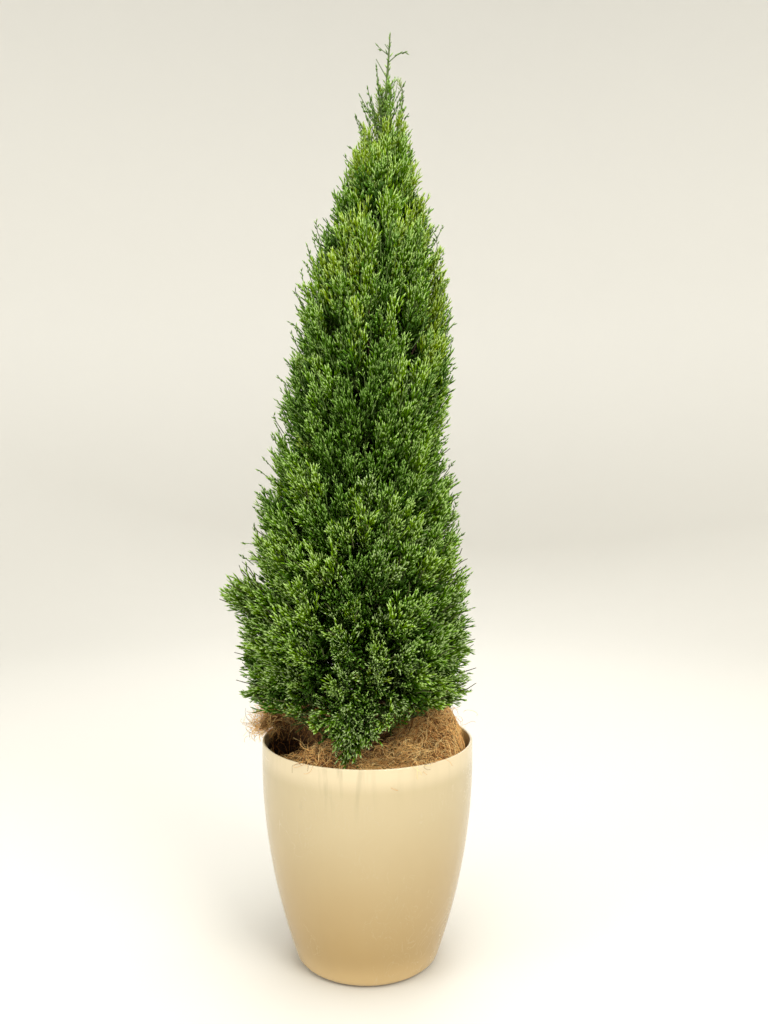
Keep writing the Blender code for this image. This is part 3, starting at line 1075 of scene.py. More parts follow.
@dataclass(frozen=True)
class SprigPattern:
    """One pattern of sprig: a cord with shorter cords off it, each with a blunt end."""

    length: float
    cords: int
    longest: float
    spread: float
    radius: float
    seed: int
    capped: bool = False
    shoulder: float = 0.70
    first_cord: float = 0.06
    last_cord: float = 0.82
    shortening: float = 0.35
    wander: float = 0.05
    turn_jitter: float = 0.8
    spread_jitter: Span = (0.75, 1.25)
    length_jitter: Span = (0.8, 1.15)
    pale_share: float = 0.8

    def _cord(self, shape: Shape, root: Vector, end: Vector, pale: bool) -> None:
        """Add a three-sided cord that thickens up to a shoulder near its closed end.

        Args:
            shape: The bmesh to add to.
            root: Its start.
            end: Its tip.
            pale: Whether its end takes the tip's colour.
        """
        tip_layer = shape.faces.layers.int["is_tip_mark"]
        along = (end - root).normalized()
        middle = end if self.capped else root.lerp(end, self.shoulder)
        ring = [shape.verts.new(middle + self.radius * spun(along, math.pi / 2, TURN * k / 3))
                for k in range(3)]
        first = shape.verts.new(root)
        for k in range(3):
            shape.faces.new((first, ring[k], ring[(k + 1) % 3]))[tip_layer] = 0
        if self.capped:
            shape.faces.new(ring)[tip_layer] = 1
            return
        last = shape.verts.new(end)
        for k in range(3):
            shape.faces.new((last, ring[(k + 1) % 3], ring[k]))[tip_layer] = int(pale)

    def make(self, name: str) -> Item:
        """Make the pattern as an object that grows along +Z from the origin."""
        rng = random.Random(self.seed)
        shape = bmesh.new()
        shape.faces.layers.int.new("is_tip_mark")
        aside = [rng.uniform(-self.wander, self.wander) for _ in range(2)]
        end = Vector((*aside, 1.0)) * self.length
        self._cord(shape, Vector(), end, True)
        turn = rng.uniform(0, TURN)
        for k in range(self.cords):
            share = self.first_cord + (self.last_cord - self.first_cord) * k / self.cords
            turn += math.pi + rng.uniform(-self.turn_jitter, self.turn_jitter)
            angle = self.spread * rng.uniform(*self.spread_jitter)
            length = self.longest * (1.0 - self.shortening * share)
            length *= rng.uniform(*self.length_jitter)
            root = end * share
            tip = root + spun(UP, angle, turn) * length
            self._cord(shape, root, tip, rng.random() < self.pale_share)
        mesh = mesh_from(name, shape)
        marks = np.zeros(len(mesh.polygons), np.int32)
        mesh.attributes["is_tip_mark"].data.foreach_get("value", marks)
        flags = mesh.attributes.new("is_tip", "BOOLEAN", "FACE")
        flags.data.foreach_set("value", marks.astype(bool))
        mesh.attributes.remove(mesh.attributes["is_tip_mark"])
        return bpy.data.objects.new(name, mesh)


@dataclass
class Plume:
    """A feathery branch end along one smooth curve.

    It leaves its root in the start's direction and reaches its tip in the end's, each held by a
    pull as a share of its length. Its fullness is the relative size of its side shoots.
    """

    root: Vector
    tip: Vector
    start: Vector
    end: Vector
    tone: Tone
    fullness: float
    start_pull: float = 0.35
    end_pull: float = 0.40
    near: float = 0.02

    def at(self, share: float) -> Vector:
        """The point at a share of the curve."""
        reach = (self.tip - self.root).length
        first = self.root + self.start * reach * self.start_pull
        second = self.tip - self.end * reach * self.end_pull
        back = 1.0 - share
        return (back ** 3 * self.root + 3 * back * back * share * first
                + 3 * back * share * share * second + share ** 3 * self.tip)

    def along(self, share: float) -> Vector:
        """The direction at a share of the curve."""
        low, high = max(0.0, share - self.near), min(1.0, share + self.near)
        return (self.at(high) - self.at(low)).normalized()


@dataclass(frozen=True)
class ExtraPlume:
    """A plume that shows in the photograph and that the rule alone wouldn't grow there.

    The angle goes round the trunk and the rise is its end's elevation, both in degrees.
    """

    angle: float
    root_height: float
    tip_height: float
    rise: float
    tone: Tone
    outward: float = 1.0


@dataclass
class Foliage:
    """The crown: boughs, twigs, green shoots and sprigs, grown on from the source's rule."""

    crown: CrownForm
    rule: SprayRule
    finer_seed: int = 900
    sprig_reach: float = 0.030
    first_shoot: float = 0.16
    shoot_spacing: float = 0.0050
    shoot_length: float = 0.0180
    shoot_angle: float = math.radians(44)
    shoot_lean: float = 0.25
    shoot_girths: Span = (0.00095, 0.0007)
    sprig_angle: float = math.radians(14)
    plume_steps: int = 7
    plume_girth: float = 0.0013
    plume_taper: float = 0.0005
    plume_root_girths: tuple[float, ...] = (0.0013, 0.00125, 0.0012, 0.0011)
    least_full: float = 0.45
    full_reach: float = 0.16
    fewest_shoots: int = 3
    end_sprigs: int = 3
    # Shares of a plume where its outer part and its own tone begin, with darker tones before them as
    # painted shade
    outer_from: float = 0.36
    own_tone_from: float = 0.62
    stem_steps: int = 8
    stem_wave: float = 0.006
    stem_share: float = 0.26
    stem_taper: float = 0.085
    stem_sprigs: int = 22
    twig_sprigs: int = 5
    twig_sag: float = 0.004
    twig_girths: tuple[float, float, float] = (0.0019, 0.0016, 0.0013)
    most_outward: float = 1.055
    most_outward_at_top: float = 0.84
    narrows_from: float = 1.02
    narrows_to: float = 1.11
    most_inner: float = 0.74
    light_from: float = 1.02
    green_from: float = 0.93
    highest: float = 1.174
    finer_from: float = 1.00
    finer_over: float = 0.16
    finer_by: float = 0.40
    edge_at_trunk: float = 0.335
    edge_at_outline: float = 0.354
    edge_dip: float = 0.086
    edge_dip_angle: float = math.radians(-95)
    edge_dip_spread: float = math.radians(14)
    edge_drop: float = 0.034
    edge_drop_spread: float = math.radians(75)
    # Height, share of sprigs with blunt ends
    blunt_shares: Stations = (
        (0.36, 0.42),
        (0.55, 0.38),
        (0.85, 0.36),
        (0.98, 0.0),
    )
    # Height, how much more than usual the sprigs lean from their shoot's way
    looseness: Stations = ((0.38, 2.0), (0.52, 1.0))
    steeper_tries: int = 3
    # Where the cleft's plumes take the deep tone as painted shade
    cleft_height: float = 0.71
    cleft_height_spread: float = 0.13
    cleft_angle: float = math.radians(-98)
    cleft_spread: float = math.radians(20)
    cleft_depth: float = 0.95
    fresh_from: float = 0.80
    fresh_over: float = 0.30
    piece_limit: int = 192000
    patterns: tuple[SprigPattern, ...] = (
        SprigPattern(0.0330, 5, 0.0170, math.radians(17), 0.00094, 1),
        SprigPattern(0.0300, 5, 0.0158, math.radians(20), 0.00096, 2),
        SprigPattern(0.0345, 5, 0.0172, math.radians(15), 0.00090, 3),
        SprigPattern(0.0280, 4, 0.0165, math.radians(22), 0.00100, 4),
        SprigPattern(0.0310, 4, 0.0190, math.radians(19), 0.00132, 7, shoulder=0.78),
        SprigPattern(0.0330, 4, 0.0195, math.radians(17), 0.00126, 8, shoulder=0.76),
        SprigPattern(0.0085, 1, 0.0048, math.radians(30), 0.00092, 6, shoulder=0.6),
        SprigPattern(0.0240, 5, 0.0160, math.radians(34), 0.00125, 5, True),
    )
    trunk_strips: int = 70
    strip_height: float = 0.06
    strip_sprigs: int = 8
    core_sprigs: int = 840
    core_height: float = 0.36
    core_reach: Span = (0.12, 0.58)
    back_sprigs: int = 330
    back_turn: float = 1.15
    back_heights: Span = (0.325, 0.430)
    back_reach: Span = (0.30, 0.86)
    stray_shoots: int = 620
    stray_heights: Span = (0.35, 0.96)
    stray_roots: Span = (0.86, 0.94)
    stray_lengths: Span = (0.018, 0.032)
    stray_girths: tuple[float, float, float] = (0.0007, 0.0006, 0.0004)
    stray_limit: float = 0.013
    stray_buds: int = 4
    bud_angles: Span = (18, 40)
    # Height, share of the strays that are bare
    bare_strays: Stations = ((0.50, 0.60), (0.68, 0.0))
    extra_plumes: tuple[ExtraPlume, ...] = (
        ExtraPlume(-99.5, 0.338, 0.288, -50, Tone.GREY, 1.01),
        ExtraPlume(-96.5, 0.334, 0.286, -54, Tone.GREY),
        ExtraPlume(-98.0, 0.342, 0.300, -40, Tone.BRIGHT),
        ExtraPlume(-103.5, 0.345, 0.318, -28, Tone.MID),
        ExtraPlume(-92.0, 0.343, 0.310, -32, Tone.GREY),
        ExtraPlume(-88.0, 0.350, 0.326, -22, Tone.MID),
        ExtraPlume(-98.0, 0.352, 0.330, -16, Tone.GREY),
        ExtraPlume(-84.0, 0.358, 0.344, -8, Tone.GREY),
        ExtraPlume(-94.0, 0.354, 0.340, -10, Tone.GREY),
        ExtraPlume(-105.0, 0.360, 0.345, -8, Tone.MID),
        ExtraPlume(180.0, 0.455, 0.502, 33, Tone.BRIGHT, 0.98),
        ExtraPlume(186.0, 0.462, 0.510, 38, Tone.BRIGHT, 0.97),
        ExtraPlume(184.0, 0.448, 0.489, 22, Tone.BRIGHT, 0.98),
        ExtraPlume(178.0, 0.440, 0.470, 12, Tone.MID, 0.98),
    )
    boughs: Limbs = field(default_factory=Limbs)
    twigs: Limbs = field(default_factory=Limbs)
    shoots: Limbs = field(default_factory=Limbs)
    beds: dict[Tone, SprigBed] = field(default_factory=lambda: {tone: SprigBed() for tone in Tone})

    @property
    def simple(self) -> int:
        """The index of the plain pattern for sprigs deep inside."""
        return len(self.patterns) - 1

    @property
    def short(self) -> int:
        """The index of the short pattern for the leader and the strays."""
        return len(self.patterns) - 2

    def pick(self, place: Vector, rng: Rng) -> int:
        """The index of a slim pattern, or of one of the two blunt ones below the leader."""
        slim = self.short - 2
        if rng.random() < along_stations(self.blunt_shares, place.z, 1):
            return slim + rng.randrange(2)
        return rng.randrange(slim)

    def fineness(self, height: float) -> float:
        """The relative size of sprigs, which are finer near the tip of the leader."""
        rise = (height - self.finer_from) / self.finer_over
        return 1.0 - self.finer_by * min(1.0, max(0.0, rise))

    def tone(self, tip: Vector, rng: Rng) -> Tone:
        """The tone of a plume, paler and yellower towards the top, and dark in the cleft as painted
        shade.

        Args:
            tip: Its tip.
            rng: The draws.

        Returns:
            The tone.
        """
        height = tip.z
        cleft = bell(height - self.cleft_height, self.cleft_height_spread)
        cleft *= bell(turn_between(self.crown.polar(tip)[1], self.cleft_angle), self.cleft_spread)
        # Painted shade: plumes in the cleft take the deep tone
        if rng.random() < self.cleft_depth * cleft:
            return Tone.DEEP
        fresh = min(1.0, max(0.0, (height - self.fresh_from) / self.fresh_over))
        scores = {
            Tone.FRESH: 0.03 + 1.3 * fresh,
            Tone.BRIGHT: 0.40 + 0.6 * bell(height - 0.96, 0.13) + 0.8 * bell(height - 0.49, 0.13),
            Tone.MID: 0.75,
            Tone.GREY: 1.4 * bell(height - 0.30, 0.20),
            Tone.DEEP: (0.22 + 0.35 * bell(height - 0.79, 0.08)) * (height < self.light_from),
        }
        return rng.choices(list(scores), list(scores.values()))[0]

    @staticmethod
    def darker(tone: Tone) -> Tone:
        """The next darker tone, as painted shade for the inner part of a plume."""
        steps = {Tone.FRESH: Tone.BRIGHT, Tone.BRIGHT: Tone.MID, Tone.GREY: Tone.DEEP,
                 Tone.MID: Tone.DEEP, Tone.DEEP: Tone.SHADE, Tone.SHADE: Tone.SHADE}
        return steps[tone]

    def lowest(self, radius: float, angle: float) -> float:
        """The height of the foliage's lower edge at a distance and direction from the trunk."""
        share = min(1.0, radius / self.crown.reach(self.edge_at_outline, angle))
        dip = bell(turn_between(angle, self.edge_dip_angle), self.edge_dip_spread)
        back = self.edge_drop * bell(turn_between(angle, math.pi / 2), self.edge_drop_spread)
        outer = self.edge_at_outline - self.edge_dip * dip
        return self.edge_at_trunk + (outer - self.edge_at_trunk) * share - back

    def fits(self, end: Vector) -> bool:
        """Whether a sprig's tip stays within the crown's outline."""
        radius, angle = self.crown.polar(end)
        rise = (end.z - self.narrows_from) / (self.narrows_to - self.narrows_from)
        narrowing = (self.most_outward - self.most_outward_at_top) * min(1.0, max(0.0, rise))
        if radius > self.crown.reach(end.z, angle) * (self.most_outward - narrowing):
            return False
        return self.lowest(radius, angle) < end.z < self.highest

    def sprig(self, bed: SprigBed, place: Vector, direction: Vector, size: float,
              rng: Rng, simple: bool = False) -> None:
        """Add one sprig unless it would leave the crown's outline, steeper near the top if need be.

        Args:
            bed: The bed of its tone.
            place: Its root.
            direction: The way it points.
            size: Its scale.
            rng: The draws.
            simple: Whether it takes the plain pattern.
        """
        for _ in range(self.steeper_tries if place.z > self.light_from else 1):
            if self.fits(place + direction * self.sprig_reach * size):
                kind = self.simple if simple else self.pick(place, rng)
                bed.add(place, direction, rng.uniform(0, TURN), size, kind)
                return
            direction = (direction + 0.7 * UP).normalized()
            size *= 0.85

    def dress(self, plume: Plume, rng: Rng) -> None:
        """Grow the side shoots and sprigs of a plume.

        Args:
            plume: The plume.
            rng: The draws.
        """
        length = (plume.tip - plume.root).length
        first, rest, steps = self.first_shoot, 1 - self.first_shoot, self.plume_steps
        points = [plume.at(first + rest * k / steps) for k in range(steps + 1)]
        self.shoots.add(points, [self.plume_girth - self.plume_taper * k / steps
                                 for k in range(steps + 1)])
        count = max(self.fewest_shoots, int(length * rest / self.shoot_spacing))
        turn = rng.uniform(0, TURN)
        for k in range(count):
            share = first + rest * (k + rng.uniform(0.2, 0.8)) / count
            turn += GOLDEN_TURN
            if share > self.outer_from or k % 2 == 0:
                self._side_shoot(plume, share, turn, rng)
        end = plume.along(1.0)
        for k in range(self.end_sprigs):
            way = spun(end, math.radians(4 + 16 * (k > 0)) * rng.uniform(0.7, 1.4), turn + k * math.pi)
            size = rng.uniform(0.9, 1.2) * self.fineness(plume.tip.z)
            self.sprig(self.beds[plume.tone], plume.at(1.0 - 0.03 * k), way, size, rng)

    def _side_shoot(self, plume: Plume, share: float, turn: float, rng: Rng) -> None:
        """Grow one side shoot of a plume with its sprigs.

        Args:
            plume: The plume.
            share: Where on the plume it stands.
            turn: Its direction about the plume.
            rng: The draws.
        """
        outer = share > self.outer_from
        root = plume.at(share)
        along = plume.along(share)
        growing = self.crown.growing(root)
        way = spun(along, self.shoot_angle * rng.uniform(0.7, 1.2), turn)
        way = (way + self.shoot_lean * growing).normalized()
        length = self.shoot_length * plume.fullness * (1.15 - 0.70 * share)
        length *= rng.uniform(0.75, 1.25)
        end = root + way * length
        self.shoots.add((root, end), self.shoot_girths)
        heading = (0.27 * way + growing).normalized()
        # Inner shoots take darker tones as painted shade
        if outer:
            same = share > self.own_tone_from or rng.random() < 0.4
            own = plume.tone if same else self.darker(plume.tone)
        elif root.z > self.light_from:
            own = self.darker(plume.tone)
        else:
            own = Tone.SHADE if rng.random() < 0.6 else Tone.DEEP
        bed = self.beds[own]
        fine = self.fineness(root.z)
        for place in (1.0, 0.45) if outer else (1.0, 0.4):
            angle = self.sprig_angle * along_stations(self.looseness, root.z, 1) * rng.uniform(0.0, 1.5)
            out = spun(heading, angle, rng.uniform(0, TURN))
            size = rng.uniform(0.85, 1.15) if place == 1.0 else rng.uniform(0.7, 1.0)
            self.sprig(bed, root.lerp(end, place), out, fine * (size if outer else size * 1.3),
                       rng, not outer and root.z < self.light_from)

    def grow_mass(self, tier: int, index: int) -> None:
        """Grow one mass: its bough, the twigs off it, and their plumes.

        Args:
            tier: Index of the tier from the bottom.
            index: Index of the mass round the trunk.
        """
        cell = Cell(self.crown, tier, index)
        form = self.crown.tiers[tier]
        rng = self.rule.draws(tier, index)
        finer = random.Random(self.finer_seed + 100 * tier + index)
        stem_up = rng.uniform(*self.rule.stem_heights)
        shares = list(self.rule.shares(form, rng))
        steps = self.stem_steps
        stem = [cell.place(0, stem_up, self.rule.stem_end * k / steps) for k in range(steps + 1)]
        stem = [point + Vector((0, 0, self.stem_wave * math.sin(1.7 * k)))
                for k, point in enumerate(stem)]
        thickness = self.stem_share * self.crown.trunk.radius(stem[0].z)
        self.boughs.add(stem, [thickness * (1 - self.stem_taper * k) for k in range(steps + 1)])
        branching = cell.place(0, stem_up, self.rule.branching_reach)
        self._dress_limb(stem, self.stem_sprigs, finer)
        for across, up, outward in shares:
            root = self.rule.root(cell, across, up)
            self._twig(branching, root)
            self._dress_limb((branching, root), self.twig_sprigs, finer)
            forks = int(form.forks) + (finer.random() < form.forks % 1)
            for fork in range(forks):
                shift = fork / forks - 0.5 * (forks - 1) / forks
                fork_across = across + 1.15 * shift / form.columns + finer.uniform(-0.12, 0.12)
                fork_up = up + (finer.uniform(-0.42, 0.42) + 0.5 * shift) / form.rows
                reach = outward if fork == 0 else finer.uniform(0.78, 1.02)
                tip = cell.place(fork_across, fork_up, reach)
                self._plume(branching, root, tip, finer)

    def _dress_limb(self, points: Sequence[Vector], count: int, rng: Rng) -> None:
        """Grow coarse dark sprigs along a limb inside the crown, their darkness painted shade.

        Args:
            points: The points along the limb.
            count: How many sprigs.
            rng: The draws.
        """
        last = len(points) - 1
        for k in range(count):
            place = on_run(points, last * (k + rng.uniform(0.1, 0.9)) / count)[0]
            way = strayed(self.crown.growing(place), 0.2, 1.0, rng)
            size = rng.uniform(1.2, 1.9)
            radius, angle = self.crown.polar(place + way * self.sprig_reach * size)
            inside = radius < self.crown.reach(place.z, angle) * self.most_inner
            if inside and place.z < self.light_from:
                tone = Tone.DEEP if rng.random() < 0.2 else Tone.SHADE
                self.sprig(self.beds[tone], place, way, size, rng, True)

    def _dress_trunk(self) -> None:
        """Grow coarse dark sprigs round the trunk, where the crown hides it, their darkness painted
        shade.
        """
        rng = random.Random(self.finer_seed - 2)
        low, high = self.crown.skirt_at_trunk, self.light_from
        for strip in range(self.trunk_strips):
            start = low + (high - low) * (strip / self.trunk_strips) ** 1.3
            points = [self.crown.trunk.middle(z) for z in (start, start + self.strip_height)]
            self._dress_limb(points, self.strip_sprigs, rng)

    def _dress_core(self) -> None:
        """Grow coarse dark sprigs in the lower heart and back, which let no light through, their
        darkness painted shade.
        """
        rng = random.Random(self.finer_seed - 3)
        for _ in range(self.core_sprigs):
            height = self.edge_at_trunk + 0.02 + self.core_height * rng.random() ** 1.4
            spot = self.crown.spot(height, rng.uniform(0, TURN), rng.uniform(*self.core_reach))
            self._fill(spot, 1.2, 0.25, 1.7, rng)
        for _ in range(self.back_sprigs):
            angle = math.pi / 2 + rng.uniform(-self.back_turn, self.back_turn)
            height = rng.uniform(*self.back_heights)
            spot = self.crown.spot(height, angle, rng.uniform(*self.back_reach))
            self._fill(spot, 1.0, 0.35, 1.5, rng)

    def _fill(self, spot: Vector, lean: float, deep: float, largest: float, rng: Rng) -> None:
        """Add one coarse dark sprig inside the crown, its darkness painted shade.

        Args:
            spot: Its root.
            lean: The most that it leans from the growing way, in radians.
            deep: The chance that it isn't in the darkest tone.
            largest: Its largest scale.
            rng: The draws.
        """
        way = strayed(self.crown.growing(spot), 0.0, lean, rng)
        tone = Tone.DEEP if rng.random() < deep else Tone.SHADE
        self.sprig(self.beds[tone], spot, way, rng.uniform(1.0, largest), rng, True)

    def _grow_strays(self) -> None:
        """Grow thin shoots that stand a little out of the outline, bare low down on the crown."""
        rng = random.Random(self.finer_seed - 4)
        low, high = self.stray_heights
        for k in range(self.stray_shoots):
            height = low + (high - low) * k / self.stray_shoots
            root = self.crown.spot(height, k * GOLDEN_TURN, rng.uniform(*self.stray_roots))
            way = strayed(self.crown.growing(root), 0.0, 0.35, rng)
            bend = strayed(way, 0.1, 0.5, rng)
            length = rng.uniform(*self.stray_lengths)
            middle = root + 0.55 * length * way
            end = middle + 0.45 * length * bend
            radius, angle = self.crown.polar(end)
            bare = rng.random() < along_stations(self.bare_strays, height, 1)
            limbs = self.twigs if bare else self.shoots
            if radius > self.crown.reach(end.z, angle) + self.stray_limit:
                continue
            limbs.add((root, middle, end), self.stray_girths)
            for bud in range(0 if bare else self.stray_buds):
                place = middle.lerp(end, (bud + rng.uniform(0.2, 0.8)) / self.stray_buds)
                angle = math.radians(rng.uniform(*self.bud_angles))
                out = spun(bend, angle, bud * math.pi + rng.uniform(-0.5, 0.5))
                bed = self.beds[rng.choice((Tone.DEEP, Tone.MID))]
                bed.add(place, out, rng.uniform(0, TURN), rng.uniform(0.7, 1.0), self.short)

    def _twig(self, branching: Vector, root: Vector) -> None:
        """A twig from the bough to the root of its plumes, green near the leader."""
        middle = (branching + root) / 2 - Vector((0, 0, self.twig_sag))
        limbs = self.shoots if root.z > self.green_from else self.twigs
        limbs.add((branching, middle, root), self.twig_girths)

    def _grow_extras(self) -> None:
        """Grow the listed plumes."""
        rng = random.Random(self.finer_seed - 1)
        for extra in self.extra_plumes:
            angle = math.radians(extra.angle)
            branching = self.crown.spot(extra.root_height - 0.02, angle, 0.12)
            root = self.crown.spot(extra.root_height, angle, 0.48)
            tip = self.crown.spot(extra.tip_height, angle, extra.outward)
            self._twig(branching, root)
            self._plume(branching, root, tip, rng, extra.rise, extra.tone)

    def _plume(self, branching: Vector, root: Vector, tip: Vector, rng: Rng,
               rise: float | None = None, tone: Tone | None = None) -> None:
        """Grow a plume whose last sprig ends at the given tip.

        Args:
            branching: Where its twig leaves the bough.
            root: Where it leaves the twig.
            tip: Where its last sprig ends.
            rng: The draws.
            rise: The elevation of its end in degrees, where it isn't the usual one.
            tone: Its tone, where it isn't dealt out by chance.
        """
        growing = strayed(self.crown.growing(tip, rise), 0.0, 0.22, rng)
        end = tip - growing * self.sprig_reach
        start = ((root - branching).normalized() + 0.5 * growing).normalized()
        if end.z > self.highest:
            return
        slim = min(1.0, self.least_full + self.crown.reach(tip.z, 0.0) / self.full_reach)
        plume = Plume(root, end, start, growing, tone or self.tone(tip, rng), slim)
        limbs = self.shoots if root.z > self.green_from else self.twigs
        limbs.add([plume.at(self.first_shoot * 1.6 * k / 3) for k in range(4)],
                  self.plume_root_girths)
        self.dress(plume, rng)

    def mass_names(self) -> list[str]:
        """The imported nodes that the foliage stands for."""
        return [f"{tier.name}_mass_{k + 1}" for tier in self.crown.tiers for k in range(tier.masses)]

    def build(self, limbs: LimbTree, bark: Material) -> None:
        """Grow every mass and make the pieces.

        Args:
            limbs: The limb tree.
            bark: The material of boughs and twigs.
        """
        for tier, form in enumerate(self.crown.tiers):
            for index in range(form.masses):
                self.grow_mass(tier, index)
        self._dress_trunk()
        self._dress_core()
        self._grow_extras()
        self._grow_strays()
        masses = self.mass_names()
        register(self.boughs.make("boughs", limbs, 8, bark), masses)
        wood = PlainFinish("twig_wood", (0.056, 0.064, 0.020), 0.8, specular=0.2).make()
        register(self.twigs.make("twigs", limbs, 4, wood), masses)
        green = PlainFinish("green_shoots", (0.066, 0.118, 0.015), 0.5).make()
        register(self.shoots.make("green_shoots", limbs, 3, green), masses)
        self._make_sprigs(masses)

    def _make_sprigs(self, masses: Sequence[str]) -> None:
        """Turn each bed of sprigs into pieces that stay under the triangle limit."""
        patterns = bpy.data.collections.new("sprig_patterns")
        faces = []
        for k, pattern in enumerate(self.patterns):
            made = pattern.make(f"sprig_pattern_{k}")
            made.data.calc_loop_triangles()
            faces.append(len(made.data.loop_triangles))
            patterns.objects.link(made)
        tree = SprigTree()
        for tone, bed in self.beds.items():
            total = sum(faces[kind] for kind in bed.kinds)
            parts = math.ceil(total / self.piece_limit)
            size = math.ceil(len(bed.kinds) / max(1, parts))
            body, tip = tone.body().make(), tone.tip().make()
            for part in range(parts):
                name = f"foliage_{tone.label}_{part + 1}"
                guide = bed.guide(name, slice(part * size, (part + 1) * size))
                mesh = tree.run(guide, {"Patterns": patterns, "Body": body, "Tips": tip})
                register(add_piece(name, mesh), masses)
        for made in list(patterns.objects):
            bpy.data.objects.remove(made)
        bpy.data.collections.remove(patterns)


@dataclass(frozen=True)
class LeaderShoot:
    """A shoot off the leader, set against the photograph.

    It leaves the leader at a height, in a direction in degrees, and ends at a level reach and a
    rise from there. A bow under 1 takes it out first and then up, and a droop bends its end down.
    """

    height: float
    turn: float
    reach: float
    rise: float
    bow: float = 1.0
    droop: float = 0.0
    sprigs: int = 4

    def points(self, trunk: TrunkForm, steps: int = 6) -> list[Vector]:
        """Its curve.

        Args:
            trunk: The trunk that it leaves.
            steps: How many stretches the curve has.

        Returns:
            The points from the leader to the tip.
        """
        angle = math.radians(self.turn)
        root = trunk.middle(self.height)
        points = []
        for k in range(steps + 1):
            share = k / steps
            out = self.reach * share ** self.bow
            up = self.rise * share - self.droop * share ** 3
            points.append(root + Vector((out * math.cos(angle), out * math.sin(angle), up)))
        return points


@dataclass
class Leader:
    """The leader's own shoots, with sky between them."""

    crown: CrownForm
    seed: int = 5
    shoots: tuple[LeaderShoot, ...] = (
        LeaderShoot(1.199, 182, 0.0138, 0.0112, sprigs=1),
        LeaderShoot(1.206, 176, 0.0056, 0.0081, sprigs=0),
        LeaderShoot(1.190, -2, 0.0247, 0.0231, droop=0.0109, sprigs=3),
        LeaderShoot(1.169, 184, 0.0147, 0.0254, sprigs=0),
        LeaderShoot(1.120, 178, 0.0106, 0.0670, bow=0.35, sprigs=8),
        LeaderShoot(1.115, 3, 0.0280, 0.0520),
        LeaderShoot(1.095, -8, 0.0268, 0.0515),
        LeaderShoot(1.095, 172, 0.0330, 0.0575, bow=0.9, sprigs=3),
        LeaderShoot(1.100, 190, 0.0223, 0.0587, bow=0.6, sprigs=3),
        LeaderShoot(1.100, 160, 0.0177, 0.0473, bow=0.7, sprigs=3),
        LeaderShoot(1.080, 185, 0.0294, 0.0594, bow=0.8),
        LeaderShoot(1.060, 177, 0.0359, 0.0609, bow=0.8),
        LeaderShoot(1.070, 2, 0.0350, 0.0554),
    )
    around: tuple[LeaderShoot, ...] = (
        LeaderShoot(1.132, 40, 0.0110, 0.0220, sprigs=2),
        LeaderShoot(1.122, 250, 0.0120, 0.0260, sprigs=3),
        LeaderShoot(1.128, 110, 0.0190, 0.0420),
        LeaderShoot(1.118, -60, 0.0200, 0.0420),
        LeaderShoot(1.112, 60, 0.0220, 0.0450),
        LeaderShoot(1.104, -110, 0.0230, 0.0480),
        LeaderShoot(1.098, 140, 0.0240, 0.0480),
        LeaderShoot(1.090, -35, 0.0270, 0.0500),
        LeaderShoot(1.085, 85, 0.0280, 0.0520),
        LeaderShoot(1.080, -140, 0.0290, 0.0520),
    )
    core: Span = (1.020, 1.134)
    core_spacing: float = 0.0015
    core_radii: Span = (0.002, 0.016)
    bud_spacing: float = 0.0036
    bud_angles: Span = (26, 40)
    bud_depth: float = 0.7
    first_bud_drop: float = 0.01
    top_bud_drop: float = 0.004
    last_bud: float = 0.006
    cord_angles: Span = (26, 42)
    girth: float = 0.00082
    taper: float = 0.0003
    pale_below: float = 1.196
    outer_shoots: int = 44
    outer_tips: Span = (0.96, 1.145)

    def build(self, foliage: Foliage) -> None:
        """Add the leader's shoots and sprigs to the foliage."""
        rng = random.Random(self.seed)
        for shoot in self.shoots + self.around:
            self._grow(shoot, foliage, rng)
        for k in range(self.outer_shoots):
            self._grow(self._outer_shoot(k, rng), foliage, rng)
        self._dress(foliage, rng)
        self._bud(foliage, rng)

    def _outer_shoot(self, index: int, rng: Rng) -> LeaderShoot:
        """A thin shoot that ends at the crown's outline, with sky round its end."""
        low, high = self.outer_tips
        tip = low + (high - low) * index / self.outer_shoots
        turn = index * math.degrees(GOLDEN_TURN)
        reach = self.crown.reach(tip, math.radians(turn)) * rng.uniform(0.98, 1.12)
        rise = max(0.045, 0.9 * reach) * rng.uniform(0.95, 1.15)
        return LeaderShoot(tip - rise, turn, reach, rise, bow=0.8)

    def _dress(self, foliage: Foliage, rng: Rng) -> None:
        """Grow a dense pale heart of steep sprigs round the leader, narrower towards its top."""
        low, high = self.core
        turn = 0.0
        for k in range(int((high - low) / self.core_spacing)):
            height = low + self.core_spacing * k
            left = (high - height) / (high - low)
            turn += GOLDEN_TURN
            angle = turn + rng.uniform(-0.3, 0.3)
            outward = self.core_radii[0] + self.core_radii[1] * left * rng.uniform(0.3, 1.0)
            away = level(angle)
            place = self.crown.trunk.middle(height) + outward * away
            way = (UP + away * rng.uniform(0.08, 0.40)).normalized()
            tone = rng.choices((Tone.FRESH, Tone.BRIGHT, Tone.MID), (0.45, 0.40, 0.15))[0]
            foliage.sprig(foliage.beds[tone], place, way, rng.uniform(0.55, 0.7) + 0.2 * left, rng)

    def _bud(self, foliage: Foliage, rng: Rng) -> None:
        """Grow single short cords up the leader to its tip."""
        trunk = self.crown.trunk
        height = self.core[1] - self.first_bud_drop
        turn = 0.0
        while height < trunk.tip - self.top_bud_drop:
            turn += GOLDEN_TURN
            way = spun(UP, math.radians(rng.uniform(*self.bud_angles)), turn)
            away = (way - UP * way.z).normalized()
            place = trunk.middle(height) + self.bud_depth * trunk.radius(height) * away
            size = rng.uniform(0.75, 1.1) * min(1.0, 0.55 + (trunk.tip - height) / 0.06)
            pale = height < self.pale_below and rng.random() < 0.55
